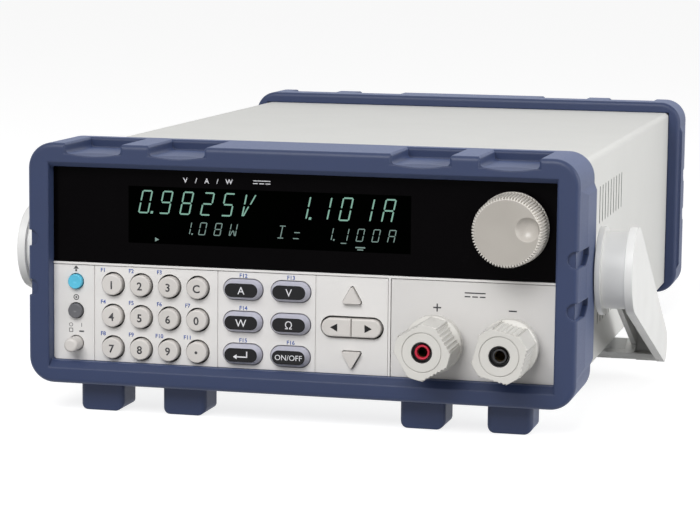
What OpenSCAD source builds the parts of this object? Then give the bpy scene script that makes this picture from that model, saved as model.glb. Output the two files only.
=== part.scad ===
// Bench DC electronic load: a half-rack sheet-metal case between two elastomer bumpers, with a swing
// handle, a dark display window, a keypad and two binding posts on the front.
// Lengths are in mm. +X is right, +Y is to the rear, +Z is up, and the origin is on the floor below
// the middle of the part. Modules work in the case frame: Y = 0 on the panel face, Z = 0 on the case
// bottom, and placed() moves that frame to the part's own.

/* [Case] */
// Outer width of the sheet-metal cover
case_w = 214.5; // [212:0.5:230]
// Outer height of the sheet-metal cover
case_h = 88.2; // [88:0.1:96]
// Depth from the panel face to the outside of the rear panel
case_d = 354.6; // [345:0.2:400]
// Thickness of the sheet metal
sheet = 1.2; // [1:0.1:1.5]
// Outer bend radius of the cover
bend_r = 2.4; // [1.8:0.1:3]
// Gap between fixed pieces that slide into each other
fit = 0.15; // [0.1:0.01:0.25]
// Width of the cover's return flange behind the rear panel
flange_w = 12; // [11:0.5:14]
// Distance of the rear screws from the sides of the case
screw_in = 7.5; // [7:0.1:9]
// Height of the chassis side flanges
chassis_h = 12; // [8:0.5:16]

/* [Side vents] */
// Distance of the first vent slot from the panel face
vent_y = 91.7; // [70:0.1:110]
// Spacing of the vent slots
vent_pitch = 8.4; // [6:0.1:10]
// Slots in one row
vent_n = 9; // [5:1:12]
// Width of one slot
vent_w = 1.8; // [1:0.1:2.5]
// Height of one slot
vent_h = 16.2; // [10:0.1:20]
// Height of the lower row above the case bottom
vent_z = 14.4; // [13:0.1:18]

/* [Bumpers] */
// How far each bumper stands past the panel and the rear panel
bumper_over = 6; // [4:0.1:8]
// Depth of the front bumper along the case
front_depth = 34; // [30:0.5:34]
// Depth of the rear bumper along the case
rear_depth = 21.6; // [16:0.1:30]
// Bumper wall above and below the case
wall_z = 5.3; // [4.5:0.1:6]
// Bumper wall beside the case
wall_x = 6.1; // [5:0.1:6.1]
// Corner radius of the bumper's outline
corner_r = 10.5; // [8:0.1:12]
// Rounding of the bumper's outer edges
edge_r = 2; // [1:0.1:2.5]
// How far the front lip covers the case at each side
lip_x = 2.75; // [2:0.05:3.5]
// How far the front lip covers the case at the top
lip_top = 4.3; // [3.5:0.1:5]
// How far the front lip covers the case at the bottom
lip_bottom = 3.7; // [3.3:0.1:4]
// Corner radius of the bumper's opening
open_r = 1.2; // [1:0.1:3]
// Chamfer along the sides of the bumper's opening
open_side = 0.5; // [0.3:0.1:1.2]
// Chamfer along the top of the bumper's opening
open_brow = 1.9; // [1.3:0.1:2.1]
// Chamfer along the bottom of the bumper's opening
open_sill = 2.7; // [2.2:0.1:3]
// Thickness of the raised pad on each side
pad_t = 1.1; // [0.6:0.1:1.1]
// Length of the slope from the bumper's face up to the raised pad
pad_slope = 14; // [13:0.5:16]
// Distance of the raised pad from the bumper's top and bottom
pad_end = 12.4; // [11.5:0.1:18]
// Diameter of the finger notches on the sides
notch_d = 6.8; // [5:0.1:8]
// Spacing of the two finger notches
notch_gap = 20.3; // [16:0.1:26]
// Depth of the finger notches
notch_t = 1.2; // [0.8:0.1:1.6]
// Distance of a notch's round end from the bumper's side
notch_in = 1; // [0.5:0.1:1.1]
// Length of the front bumper's notches along the side
notch_front = 20; // [14:0.5:22]
// Length of the rear bumper's notches along the side
notch_rear = 14; // [10:0.5:18]
// Length of the slanted lower corner of a notch
notch_cut = 7; // [4:0.5:8]

/* [Feet and stacking recesses] */
// Distance of the inner feet from the middle
foot_in_x = 50; // [44:0.5:56]
// Distance of the outer feet from the middle
foot_out_x = 85.5; // [80:0.5:88]
// Width of a foot
foot_w = 18.5; // [15:0.5:20]
// Length of a front foot
foot_front_l = 18; // [14:0.5:20]
// Length of a rear foot
foot_rear_l = 10; // [8:0.5:11]
// Height of a foot below the bumper
foot_h = 12.4; // [11:0.1:15]
// Setback of the front feet from the bumper's face
foot_front = 11; // [6:0.5:14]
// Setback of the rear feet from the bumper's face
foot_rear = 1.8; // [1:0.1:2.5]
// Rounding of the foot's lower edges
foot_r = 3.5; // [1:0.1:4]
// Rounding of the foot's upright edges
foot_side_r = 2.5; // [1:0.1:4]
// Width of a stacking recess
recess_w = 23.4; // [21:0.1:26]
// Depth of a stacking recess
recess_t = 4.2; // [3:0.1:4.4]
// Bevel round a stacking recess
recess_bevel = 0.8; // [0.4:0.1:1.2]
// Length of a stacking recess in the front bumper
recess_front = 32; // [28:0.5:34]
// Length of a stacking recess in the rear bumper
recess_rear = 13; // [11:0.5:14]
// Depth of the scoop at the front of a recess floor
scoop_t = 1; // [0.8:0.1:1.6]
// Length of that scoop
scoop_l = 6; // [4:0.5:8]

/* [Handle] */
// Distance of the handle pivot behind the panel face
pivot_y = 43; // [42.9:0.1:46]
// Height of the pivot above the middle of the case
pivot_up = 0.6; // [0:0.1:1]
// Gap between an arm and the bumper's raised pad
handle_gap = 0.55; // [0.4:0.05:2]
// Thickness of an arm across its channel
arm_t = 15.3; // [12:0.05:18]
// Outer wall of an arm
arm_wall = 3.4; // [2:0.05:4]
// Inner wall of an arm
arm_inner = 2.2; // [1.6:0.1:3]
// Web along the upper edge of an arm
arm_web = 2.6; // [2:0.1:3.5]
// Radius of an arm at its hub
hub_r = 17.7; // [16:0.1:19]
// Radius of the drum between an arm's walls
drum_r = 15.7; // [14:0.1:16.6]
// Radius of an arm at its tip
tip_r = 7.4; // [6.5:0.1:8]
// Length of an arm from pivot to tip centre
arm_l = 113.6; // [112:0.1:120]
// Depth of the crossbar
bar_w = 15; // [12:0.1:15]
// Thickness of the crossbar
bar_t = 7.6; // [7:0.1:9]
// Height of the low front wall of the crossbar's channel
bar_front = 3; // [2.5:0.1:4]
// How far the arms' tips reach below the case
tip_low = 9.6; // [9:0.1:10]
// Wall of the crossbar's channel
bar_wall = 2.4; // [1.8:0.1:3]
// Gap between the stowed crossbar and the case bottom
bar_gap = 0.6; // [0.4:0.1:1]
// Cells of the crossbar's channel
bar_cells = 8; // [6:1:12]
// Radius of the pivot boss
boss_r = 8; // [6:0.1:8.2]
// Running clearance of the pivot
pivot_fit = 0.06; // [0.02:0.01:0.1]
// Radius of the pivot screws
pivot_screw_r = 2; // [1.5:0.1:2.5]

/* [Front panel] */
// Thickness of the window and of the two panel plates
plate_t = 2.5; // [2:0.1:3]
// Thickness of the front frame behind the plates
frame_t = 3; // [2.5:0.1:4]
// Wall round the front frame
frame_wall = 2.4; // [2:0.1:2.4]
// Length of the front frame's wall
frame_l = 17; // [12:0.5:20]
// Lower edge of the display window, as a share of the opening's height
split_share = 0.51; // [0.5:0.001:0.52]
// Left edge of the terminal plate, as a share of the panel's width
terminal_share = 0.6816; // [0.68:0.0001:0.69]
// Groove between neighbouring plates
groove = 1.4; // [1.2:0.1:1.6]
// Gap on each side of the frame's rib in that groove
rib_gap = 0.25; // [0.2:0.05:0.3]
// How far the rib stands proud of the plates
rib_proud = 0.4; // [0.2:0.1:0.8]
// Divider after the function keys, as a share of the panel's width
divider_side = 0.0846; // [0.08:0.0001:0.09]
// Divider after the number keys, as a share of the panel's width
divider_pad = 0.3371; // [0.335:0.0001:0.34]
// Divider after the mode keys, as a share of the panel's width
divider_mode = 0.5331; // [0.53:0.0001:0.535]
// Width of a divider groove
divider_w = 0.5; // [0.3:0.05:0.7]
// Depth of a divider groove
divider_t = 0.4; // [0.2:0.05:0.6]
// Left edge of the display glass, as a share of the panel's width
glass_left = 0.155; // [0.15:0.001:0.17]
// Right edge of the display glass, as a share of the panel's width
glass_right = 0.7204; // [0.7:0.0001:0.73]
// Distance of the display glass from the window's lower edge
glass_low = 5.9; // [5.4:0.1:7]
// Distance of the display glass from the window's upper edge
glass_high = 4.4; // [4:0.1:6]
// Thickness of the circuit boards
board_t = 1.6; // [1.2:0.1:2]

/* [Keys] */
// Gap round a key
key_gap = 0.35; // [0.3:0.05:0.5]
// Width of the collar that holds a key behind its plate
collar_w = 0.7; // [0.5:0.1:0.8]
// Thickness of that collar
collar_t = 1; // [0.8:0.1:1.4]
// Travel of a key
key_travel = 1.2; // [0.8:0.1:1.3]
// Number key diameter
pad_d = 9.3; // [8:0.1:9.5]
// Number keys stand proud by
pad_proud = 2.7; // [2:0.1:4]
// Middle of the number keys, as a share of the panel's width
pad_share = 0.2097; // [0.208:0.0001:0.212]
// Column spacing of the number keys
pad_dx = 12.05; // [11.8:0.05:12.1]
// Top row of the number keys, as a share of the key field's height
row_share = 0.7873; // [0.78:0.0001:0.79]
// Row spacing of the number keys, as a share of the key field's height
row_step = 0.3203; // [0.315:0.0001:0.322]
// Mode key width
mode_w = 16.3; // [14:0.1:16.5]
// Mode key height
mode_h = 8.2; // [7:0.1:9]
// Mode keys stand proud by
mode_proud = 3.5; // [2.5:0.1:4.5]
// Upright side of a mode key below its taper
mode_side = 0.6; // [0.3:0.1:1.5]
// How far the taper draws in a mode key's face
face_rim = 1.25; // [0.8:0.05:1.6]
// Middle of the mode keys, as a share of the panel's width
mode_share = 0.4356; // [0.434:0.0001:0.437]
// Top row of the mode keys, as a share of the key field's height
mode_row = 0.7946; // [0.785:0.0001:0.8]
// Row spacing of the mode keys, as a share of the key field's height
mode_step = 0.3227; // [0.315:0.0001:0.324]
// Column spacing of the mode keys
mode_dx = 19.9; // [19:0.1:20]
// Middle of the arrow keys, as a share of the panel's width
arrow_share = 0.6049; // [0.604:0.0001:0.607]
// Width over the left and right arrow keys
arrow_w = 25.3; // [24:0.1:26]
// Size of the up and down keys, from their middle to a corner
arrow_r = 4.7; // [4:0.1:5]
// Distance of the up and down keys from the middle row, as a share of the key field's height
arrow_step = 0.2958; // [0.28:0.0001:0.3]
// Arrow keys stand proud by
arrow_proud = 2; // [1.5:0.1:3]
// Column of the round function keys and the power button, as a share of the panel's width
side_share = 0.0462; // [0.045:0.0001:0.05]
// Upper round function key, as a share of the key field's height
side_row = 0.7995; // [0.79:0.0001:0.81]
// Spacing of the round function keys, as a share of the key field's height
side_step = 0.2958; // [0.28:0.0001:0.3]
// Diameter of the round function keys
side_d = 6; // [5:0.1:7]
// Function keys stand proud by
side_proud = 2; // [1.5:0.1:3]
// Power button diameter
power_d = 5.8; // [5:0.1:6.5]
// Power button, as a share of the key field's height
power_row = 0.1736; // [0.17:0.0001:0.19]
// Power button stands proud by
power_proud = 7.6; // [6:0.1:9]
// Travel of the power button
power_travel = 3.5; // [2.5:0.1:4]

/* [Knob] */
// Knob axis, as a share of the panel's width
knob_share = 0.9145; // [0.91:0.0001:0.916]
// Knob axis above the middle of the window
knob_up = 1.05; // [0:0.05:1.5]
// Knob diameter at its back
knob_d = 29; // [27:0.1:30]
// Knob diameter at its face
knob_face_d = 26.6; // [25:0.1:27]
// Knob length
knob_l = 15; // [12:0.1:17]
// Gap between the knob and the window
knob_gap = 1; // [0.8:0.1:1.5]
// Flutes round the knob
knob_flutes = 80; // [60:1:90]
// Depth of the flutes
flute_t = 0.5; // [0.3:0.05:0.7]
// Finger dimple, to the right of the knob axis
dimple_x = 8.2; // [6:0.1:8.4]
// Finger dimple, above the knob axis
dimple_z = 1.5; // [-2:0.1:2]
// Diameter of the finger dimple
dimple_d = 9.6; // [8:0.1:10]
// Depth of the finger dimple
dimple_t = 2; // [1.5:0.1:2.5]
// Radius of the encoder shaft
shaft_r = 3; // [2.5:0.1:3.2]
// Running clearance of the shaft
shaft_fit = 0.05; // [0.02:0.01:0.1]

/* [Binding posts] */
// Middle of the binding posts, as a share of the panel's width
post_share = 0.8436; // [0.842:0.0001:0.845]
// Spacing of the binding posts
post_dx = 30.4; // [29:0.1:31]
// Binding posts, as a share of the key field's height
post_row = 0.3716; // [0.36:0.0001:0.38]
// Reach of the caps in front of the panel
post_reach = 28.5; // [26:0.1:31]
// Width of a cap across its plain flats
cap_af = 21.8; // [21:0.1:22]
// Width of a cap across its ribbed flats
cap_grip_af = 19; // [18:0.1:19.5]
// Width of a ribbed flat
grip_w = 10.6; // [9:0.1:11]
// Ribs on a ribbed flat
grip_ribs = 6; // [4:1:7]
// Height of these ribs
grip_rib_t = 0.45; // [0.3:0.05:0.6]
// Turn of the left cap about its axis
cap_turn_left = -14; // [-45:1:45]
// Turn of the right cap about its axis
cap_turn_right = 31; // [-45:1:45]
// Skirt diameter of a cap
cap_d = 23; // [22:0.1:23.5]
// Length of a cap's round skirt
skirt_l = 6; // [5:0.1:8]
// Thickness of the insulating collar behind a cap
collar_l = 4; // [3:0.1:6]
// Diameter of the insulating collar
collar_d = 19; // [17:0.1:20]
// Radius of the threaded stud
stud_r = 3; // [2.8:0.1:3.4]
// Radius of the plug socket
socket_r = 2; // [1.9:0.05:2.1]
// Length of the plug socket
socket_l = 18; // [15:0.5:20]
// Radius of the recess round the socket
well_r = 4.2; // [4:0.1:4.6]

/* [Rear and inside] */
// Side of the fan
fan_w = 60; // [55:1:60]
// Thickness of the fan
fan_t = 25; // [20:1:25]
// Fan axis to the right of the middle, as a share of the inner half width
fan_share = 0.4533; // [0.44:0.0001:0.47]
// Blades of the fan
fan_blades = 7; // [5:1:9]
// Rings of the rear grille
grille_rings = 4; // [3:1:4]
// Bars of the rear grille
grille_bar = 2; // [1.5:0.1:2.5]
// Power inlet to the left of the middle, as a share of the inner half width
inlet_share = 0.6232; // [0.61:0.0001:0.64]
// Data port to the left of the middle, as a share of the inner half width
port_share = 0.1511; // [0.14:0.0001:0.16]
// Power inlet and data port, above the case bottom
inlet_z = 24; // [22:0.5:28]
// Sense terminals, as a share of the case's height
sense_share = 0.7256; // [0.7:0.0001:0.74]
// Length of the heat sink
sink_l = 190; // [160:1:195]
// Width of the heat sink
sink_w = 84; // [70:0.5:86]
// Fins of the heat sink
sink_fins = 13; // [9:1:15]

/* [Hidden] */
$fn = 48;
eps = 0.01;
case_z = wall_z + foot_h;
panel_y = -(case_d + bumper_over - post_reach) / 2;
half_w = case_w / 2;
mid_z = case_h / 2;
pivot_z = mid_z + pivot_up;
inner_x = half_w - sheet - fit;
open_x = half_w - lip_x;
open_z0 = lip_bottom;
open_z1 = case_h - lip_top;
lip_y = plate_t;
frame_y = plate_t + frame_t;
board_gap = 2;
board_y = frame_y + board_gap;
plate_x = open_x - fit;
frame_z0 = sheet + fit;
frame_z1 = case_h - sheet - fit;
rear_y = case_d - sheet;

// Places on the panel, from shares of its width and of the key field's height
split_z = open_z0 + split_share * (open_z1 - open_z0);
field_h = split_z - open_z0;
function across(share) = (2 * share - 1) * plate_x;
function up(share) = open_z0 + share * field_h;
terminal_x = across(terminal_share);
glass_x0 = across(glass_left);
glass_x1 = across(glass_right);
glass_z0 = split_z + glass_low;
glass_z1 = open_z1 - glass_high;
pad_x = across(pad_share) - 1.5 * pad_dx;
mode_x = across(mode_share) - mode_dx / 2;
arrow_x = across(arrow_share);
arrow_z = up(row_share - row_step);
arrow_dz = arrow_step * field_h;
side_x = across(side_share);
power_at = [side_x, up(power_row)];
knob_x = across(knob_share);
knob_z = (split_z + open_z1) / 2 + knob_up;
post_x = across(post_share) - post_dx / 2;
post_z = up(post_row);
post_at = [[post_x, post_z], [post_x + post_dx, post_z]];
fan_x = fan_share * inner_x;
inlet_x = -inlet_share * inner_x;
port_x = -port_share * inner_x;
port_z = inlet_z;
sense_z = sense_share * case_h;
function pad_at(c, r) = [pad_x + c * pad_dx, up(row_share - r * row_step)];
function mode_at(c, r) = [mode_x + c * mode_dx, up(mode_row - r * mode_step)];
function side_at(r) = [side_x, up(side_row - r * side_step)];

PAD_KEYS = [
    ["key_1", "key_2", "key_3", "key_esc"],
    ["key_4", "key_5", "key_6", "key_0"],
    ["key_7", "key_8", "key_9", "key_dot"]
];
MODE_KEYS = [
    ["key_current", "key_voltage"],
    ["key_power", "key_resistance"],
    ["key_enter", "key_on_off"]
];
SIDE_KEYS = ["key_shift", "key_local"];

// Colours as the photo shows them
paint = [0.85, 0.86, 0.85];
elastomer = [0.25, 0.31, 0.46];
white_plastic = [0.87, 0.86, 0.84];
key_grey = [0.84, 0.83, 0.8];
black_plastic = [0.07, 0.07, 0.08];
steel = [0.72, 0.73, 0.74];
brass = [0.78, 0.62, 0.3];
board_green = [0.1, 0.35, 0.2];

// Case frame to part frame
module placed() {
    translate([0, panel_y, case_z]) children();
}

// Extrudes an outline drawn in X and Z from y0 to y1
module along_y(y0, y1) {
    translate([0, y1, 0]) rotate([90, 0, 0]) linear_extrude(y1 - y0) children();
}

// Extrudes an outline drawn in Y and Z from x0 to x1
module along_x(x0, x1) {
    translate([x0, 0, 0]) rotate([90, 0, 90]) linear_extrude(x1 - x0) children();
}

// Local frame of something on the panel: its own +Z points out to the front
module on_panel(x, z) {
    translate([x, 0, z]) rotate([90, 0, 0]) children();
}

module both_sides() {
    children();
    mirror([1, 0, 0]) children();
}

module box(x, y, z) {
    translate([x[0], y[0], z[0]]) cube([x[1] - x[0], y[1] - y[0], z[1] - z[0]]);
}

module round_rect(w, h, r) {
    square([w - 2 * r, h], center = true);
    square([w, h - 2 * r], center = true);
    for (x = [-1, 1], y = [-1, 1]) translate([x * (w / 2 - r), y * (h / 2 - r)]) circle(r);
}

module obround(w, h) {
    square([w - h, h], center = true);
    for (x = [-1, 1]) translate([x * (w - h) / 2, 0]) circle(d = h);
}

function unit(v) = v / norm(v);
function angle_of(v) = atan2(v[1], v[0]);
function turn(a) = a > 180 ? a - 360 : a < -180 ? a + 360 : a;

// Points of one rounded corner at b between a and c
function corner(a, b, c, r, n) =
    let (u = unit(a - b), v = unit(c - b), half = acos(u * v) / 2)
    let (mid = b + unit(u + v) * r / sin(half))
    let (from = angle_of(b + u * r / tan(half) - mid))
    let (sweep = turn(angle_of(b + v * r / tan(half) - mid) - from))
    [for (i = [0:n]) mid + r * [cos(from + sweep * i / n), sin(from + sweep * i / n)]];

function rounded(p, r, n = 5) =
    let (k = len(p))
    [for (i = [0:k - 1]) each corner(p[(i + k - 1) % k], p[i], p[(i + 1) % k], r, n)];

// Disc with a rounded upper edge, standing on z = 0
module rounded_disc(r, h, edge) {
    cylinder(r = r, h = h - edge);
    cylinder(r = r - edge, h = h);
    translate([0, 0, h - edge]) rotate_extrude() translate([r - edge, 0]) circle(edge);
}

// Cover: top and both sides in one bent sheet, with return flanges for the rear panel
module cover_outline() {
    translate([-half_w, 0]) square([case_w, case_h - bend_r]);
    translate([bend_r - half_w, 0]) square([case_w - 2 * bend_r, case_h]);
    for (x = [-1, 1]) translate([x * (half_w - bend_r), case_h - bend_r]) circle(bend_r);
}

module vent_slot(y, z) {
    along_x(-half_w - 1, half_w + 1) translate([y, z + vent_h / 2]) rotate(90) obround(vent_h, vent_w);
}

flange_gap = 1;
screw_r = 1.5;
screw_head_r = 2.9;
screw_head_t = 1.8;
screw_edge = 0.8;
screw_l = 7;

module screw_places() {
    for (x = [-1, 1], z = [chassis_h + screw_in, case_h - screw_in - sheet]) {
        translate([x * (half_w - screw_in), rear_y, z]) rotate([-90, 0, 0]) children();
    }
}

module cover() color(paint) placed() difference() {
    union() {
        along_y(lip_y, rear_y) difference() {
            cover_outline();
            translate([sheet - half_w, -eps]) square([case_w - 2 * sheet, case_h - sheet + eps]);
        }
        along_y(rear_y - sheet, rear_y) difference() {
            z0 = chassis_h + flange_gap;
            translate([eps - half_w, z0]) square([case_w - 2 * eps, case_h - z0 - eps]);
            translate([flange_w - half_w, 0]) square([case_w - 2 * flange_w, case_h - flange_w]);
        }
    }
    for (i = [0:vent_n - 1], z = [vent_z, case_h - vent_z - vent_h]) {
        vent_slot(vent_y + i * vent_pitch, z);
    }
    along_x(-half_w - 1, half_w + 1) translate([pivot_y, pivot_z]) circle(pivot_screw_r + fit);
    screw_places() translate([0, 0, -2 * sheet]) cylinder(r = screw_r + fit, h = 4 * sheet);
}

// Chassis: bottom sheet with two side flanges and the standoffs of the main board
standoff_h = 8;
standoff_r = 3;
standoff_in = 5;
main_share = [-0.925, -0.0755];
main_x = main_share * inner_x;
main_gap = 17.5;
main_l = 140;
main_y = [frame_y + frame_l + main_gap, frame_y + frame_l + main_gap + main_l];

module standoff_places() {
    xs = [main_x[0] + standoff_in, main_x[1] - standoff_in];
    ys = [main_y[0] + standoff_in, main_y[1] - standoff_in];
    for (x = xs, y = ys) translate([x, y, sheet]) children();
}

module chassis() color(steel) placed() union() {
    box([-inner_x, inner_x], [lip_y, rear_y], [0, sheet]);
    y0 = frame_y + frame_l + flange_gap;
    both_sides() box([inner_x - sheet, inner_x], [y0, rear_y - sheet - fit], [0, chassis_h]);
    standoff_places() cylinder(r = standoff_r, h = standoff_h);
}

// Rear panel: one sheet with the fan grille and the cut-outs of the rear sockets
fan_z = mid_z;
fan_r = fan_w / 2 - 2;
grille_hub_r = 6;
inlet_w = 27;
inlet_h = 19.6;
sense_w = 26;
sense_h = 10;
port_w = 17;
port_h = 8.4;

module grille() {
    pitch = (fan_r - grille_hub_r) / grille_rings;
    difference() {
        for (i = [1:grille_rings]) difference() {
            circle(grille_hub_r + i * pitch);
            circle(grille_hub_r + (i - 1) * pitch + grille_bar);
        }
        for (a = [45, 135]) rotate(a) square([2 * fan_w, grille_bar], center = true);
    }
}

module rear_panel() color(paint) placed() difference() {
    box([-inner_x, inner_x], [rear_y, case_d], [0, frame_z1]);
    along_y(rear_y - 1, case_d + 1) {
        translate([fan_x, fan_z]) grille();
        translate([inlet_x, inlet_z]) square([inlet_w + 2 * fit, inlet_h + 2 * fit], center = true);
        translate([inlet_x, sense_z]) square([sense_w + 2 * fit, sense_h + 2 * fit], center = true);
        translate([port_x, port_z]) square([port_w + 2 * fit, port_h + 2 * fit], center = true);
    }
    screw_places() translate([0, 0, -sheet]) cylinder(r = screw_r + fit, h = 4 * sheet);
}

module case_screws() color(steel) placed() screw_places() translate([0, 0, sheet]) {
    rounded_disc(screw_head_r, screw_head_t, screw_edge);
    translate([0, 0, -screw_l]) cylinder(r = screw_r, h = screw_l + eps);
}

// Bumpers: an elastomer ring that grips one end of the case
// The ring is drawn with its lip at y = 0 and its open end at y = depth + bumper_over
bumper_w = case_w + 2 * wall_x;
bumper_h = case_h + 2 * wall_z;
pad_h = bumper_h - 2 * pad_end;
pad_ramp = 2.5 * pad_t;
recess_r = 1.5;

module bumper_block(depth) {
    cx = bumper_w / 2 - corner_r;
    cz = bumper_h / 2 - corner_r;
    translate([0, depth / 2, -cz]) linear_extrude(2 * cz) round_rect(bumper_w, depth, edge_r);
    along_x(-cx, cx) translate([depth / 2, 0]) round_rect(depth, bumper_h, edge_r);
    for (x = [-cx, cx], z = [-cz, cz]) translate([x, 0, z]) rotate([-90, 0, 0]) rotate_extrude() {
        square([corner_r - edge_r, depth]);
        translate([0, edge_r]) square([corner_r, depth - 2 * edge_r]);
        for (y = [edge_r, depth - edge_r]) translate([corner_r - edge_r, y]) circle(edge_r);
    }
}

// Raised side pad that slopes up from the face and from both ends
module side_pad(depth) {
    x = bumper_w / 2;
    x0 = x - wall_x / 2;
    x1 = x + pad_t;
    y1 = depth - edge_r;
    z1 = pad_h / 2;
    intersection() {
        translate([0, 0, -z1]) linear_extrude(pad_h)
            polygon([[x0, edge_r], [x, edge_r], [x1, edge_r + pad_slope], [x1, y1], [x0, y1]]);
        along_y(0, depth)
            polygon([[x0, -z1], [x, -z1], [x1, pad_ramp - z1], [x1, z1 - pad_ramp], [x, z1], [x0, z1]]);
    }
}

module foot(setback, l) {
    z0 = -bumper_h / 2 - foot_h;
    h = foot_h + wall_z / 2;
    intersection() {
        along_y(setback, setback + l) translate([0, z0]) {
            translate([-foot_w / 2, foot_r]) square([foot_w, h - foot_r]);
            translate([foot_r - foot_w / 2, 0]) square([foot_w - 2 * foot_r, h]);
            for (x = [-1, 1]) translate([x * (foot_w / 2 - foot_r), foot_r]) circle(foot_r);
        }
        translate([0, setback + l / 2, z0 - 1]) linear_extrude(h + 2)
            round_rect(foot_w, l, foot_side_r);
    }
}

module foot_columns() {
    for (x = [-foot_out_x, -foot_in_x, foot_in_x, foot_out_x]) translate([x, 0, 0]) children();
}

module side_notch(l) {
    x = bumper_w / 2;
    r = notch_d / 2;
    for (z = [-notch_gap / 2, notch_gap / 2]) translate([0, 0, z]) {
        along_y(-1, notch_t) translate([x - notch_in, 0]) circle(r);
        along_x(x - notch_t, x + pad_t + 1)
            polygon([[-1, -r], [l - notch_cut, -r], [l, notch_cut / 2 - r], [l, r], [-1, r]]);
    }
}

// Recess of length l for the foot of a unit on top, with a bevelled mouth and a scooped floor
module stacking_recess(l) {
    c = recess_bevel;
    w = recess_w / 2;
    chord = w - recess_r;
    scoop_r = (chord ^ 2 + scoop_t ^ 2) / (2 * scoop_t);
    along_y(-1, l) round_rect(recess_w, 2 * recess_t, recess_r);
    intersection() {
        along_y(-1, l + c) polygon([[-w - c, eps], [w + c, eps], [w, -c], [-w, -c]]);
        along_x(-w - c, w + c) polygon([[-1, eps], [l + c, eps], [l, -c], [-1, -c]]);
    }
    translate([0, 0, -recess_t]) linear_extrude(recess_t + 1)
        polygon([[-w - c, -eps], [w + c, -eps], [w, c], [-w, c]]);
    intersection() {
        translate([0, 0, -recess_t - scoop_t]) rotate([atan(scoop_t / scoop_l), 0, 0])
            along_y(-2, scoop_l + 2) translate([0, scoop_r]) circle(scoop_r, $fn = 120);
        box([-chord, chord], [-1, scoop_l + 1], [-recess_t - scoop_t - 1, -recess_t + eps]);
    }
}

// Bevel round the opening: two crossed wedges meet in mitred corners
module opening_bevel(w, h) {
    x0 = w / 2;
    x1 = x0 + open_side;
    z0 = h / 2;
    intersection() {
        translate([0, 0, -z0 - open_sill]) linear_extrude(h + open_sill + open_brow) polygon([
            [-x1, -eps], [x1, -eps], [x0, open_side], [x0, open_sill], [-x0, open_sill], [-x0, open_side]
        ]);
        along_x(-x1, x1) polygon([
            [-eps, -z0 - open_sill], [-eps, z0 + open_brow],
            [open_brow, z0], [open_sill, z0], [open_sill, -z0]
        ]);
    }
}

// A bumper of the given depth over the case, with a lip, feet, recesses and side notches
module bumper(depth, lip, foot_setback, foot_l, recess_l, notch_l) {
    d = depth + bumper_over;
    open_mid = (open_z0 + open_z1) / 2 - mid_z;
    difference() {
        union() {
            bumper_block(d);
            both_sides() side_pad(d);
            foot_columns() foot(foot_setback, foot_l);
        }
        box([-half_w - fit, half_w + fit], [lip, d + 1], [-mid_z - fit, mid_z + fit]);
        translate([0, 0, open_mid]) {
            along_y(-1, lip + 1) round_rect(2 * open_x, open_z1 - open_z0, open_r);
            opening_bevel(2 * open_x, open_z1 - open_z0);
        }
        both_sides() side_notch(notch_l);
        foot_columns() translate([0, 0, bumper_h / 2]) stacking_recess(recess_l);
    }
}

module front_bumper() color(elastomer) placed() translate([0, -bumper_over, mid_z])
    bumper(front_depth, bumper_over + lip_y, foot_front, foot_front_l, recess_front, notch_front);

module rear_bumper() color(elastomer) placed()
    translate([0, case_d + bumper_over, mid_z]) mirror([0, 1, 0])
    bumper(rear_depth, bumper_over, foot_rear, foot_rear_l, recess_rear, notch_rear);

// Handle: a moulded bail whose arms are channels round a hub drum, joined by a ribbed crossbar
arm_x0 = bumper_w / 2 + pad_t + handle_gap;
arm_x1 = arm_x0 + arm_t;
arm_a = asin((pivot_z + tip_low - tip_r) / arm_l);
arm_u = [cos(arm_a), -sin(arm_a)];
arm_n = [sin(arm_a), cos(arm_a)];
tip = arm_l * arm_u;
bar_r = 2;

module arm_outline(r0, r1) {
    b = acos((r0 - r1) / arm_l);
    circle(r0);
    translate(tip) circle(r1);
    polygon([
        r0 * [cos(b - arm_a), sin(b - arm_a)], tip + r1 * [cos(b - arm_a), sin(b - arm_a)],
        tip + r1 * [cos(-b - arm_a), sin(-b - arm_a)], r0 * [cos(-b - arm_a), sin(-b - arm_a)]
    ]);
}

// Half of the arm below its axis, which the inner wall leaves open
module below_axis() {
    rotate(-arm_a) translate([0, -2 * hub_r]) square([arm_l + 2 * tip_r, 2 * hub_r]);
}

module arm() {
    difference() {
        along_x(arm_x0, arm_x1) arm_outline(hub_r, tip_r);
        along_x(arm_x0 + arm_inner, arm_x1 - arm_wall) difference() {
            union() {
                translate(-arm_web * (arm_n + arm_u)) arm_outline(hub_r, tip_r);
                circle(hub_r + 1);
            }
            circle(drum_r);
        }
        along_x(arm_x0 - 1, arm_x0 + arm_inner + eps) difference() {
            below_axis();
            circle(hub_r + 1);
        }
        along_x(arm_x0 - 1, arm_x1 - arm_wall) circle(boss_r + pivot_fit);
    }
}

// Crossbar under the case, open upwards and over its low front wall, with ribs between its cells
module crossbar() {
    y1 = tip[0] + tip_r;
    z1 = -pivot_z - bar_gap;
    x1 = arm_x1 - arm_wall / 2;
    cell = (2 * arm_x0 - bar_wall) / bar_cells;
    cell_y = [y1 - bar_w + bar_wall, y1 - bar_wall];
    cell_z = [z1 - bar_t + bar_wall, z1 + 1];
    difference() {
        along_x(-x1, x1) translate([y1 - bar_w / 2, z1 - bar_t / 2]) round_rect(bar_w, bar_t, bar_r);
        for (i = [0:bar_cells - 1]) {
            x = bar_wall - arm_x0 + i * cell;
            box([x, x + cell - bar_wall], cell_y, cell_z);
        }
        both_sides() box([arm_x0 + arm_inner, arm_x1 - arm_wall], cell_y, cell_z);
        z = z1 - bar_t + bar_front;
        along_x(-x1 - 1, x1 + 1) polygon([
            [y1 - bar_w - 1, z], [cell_y[0], z], [cell_y[1], z1], [cell_y[1], z1 + 1],
            [y1 - bar_w - 1, z1 + 1]
        ]);
    }
}

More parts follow.
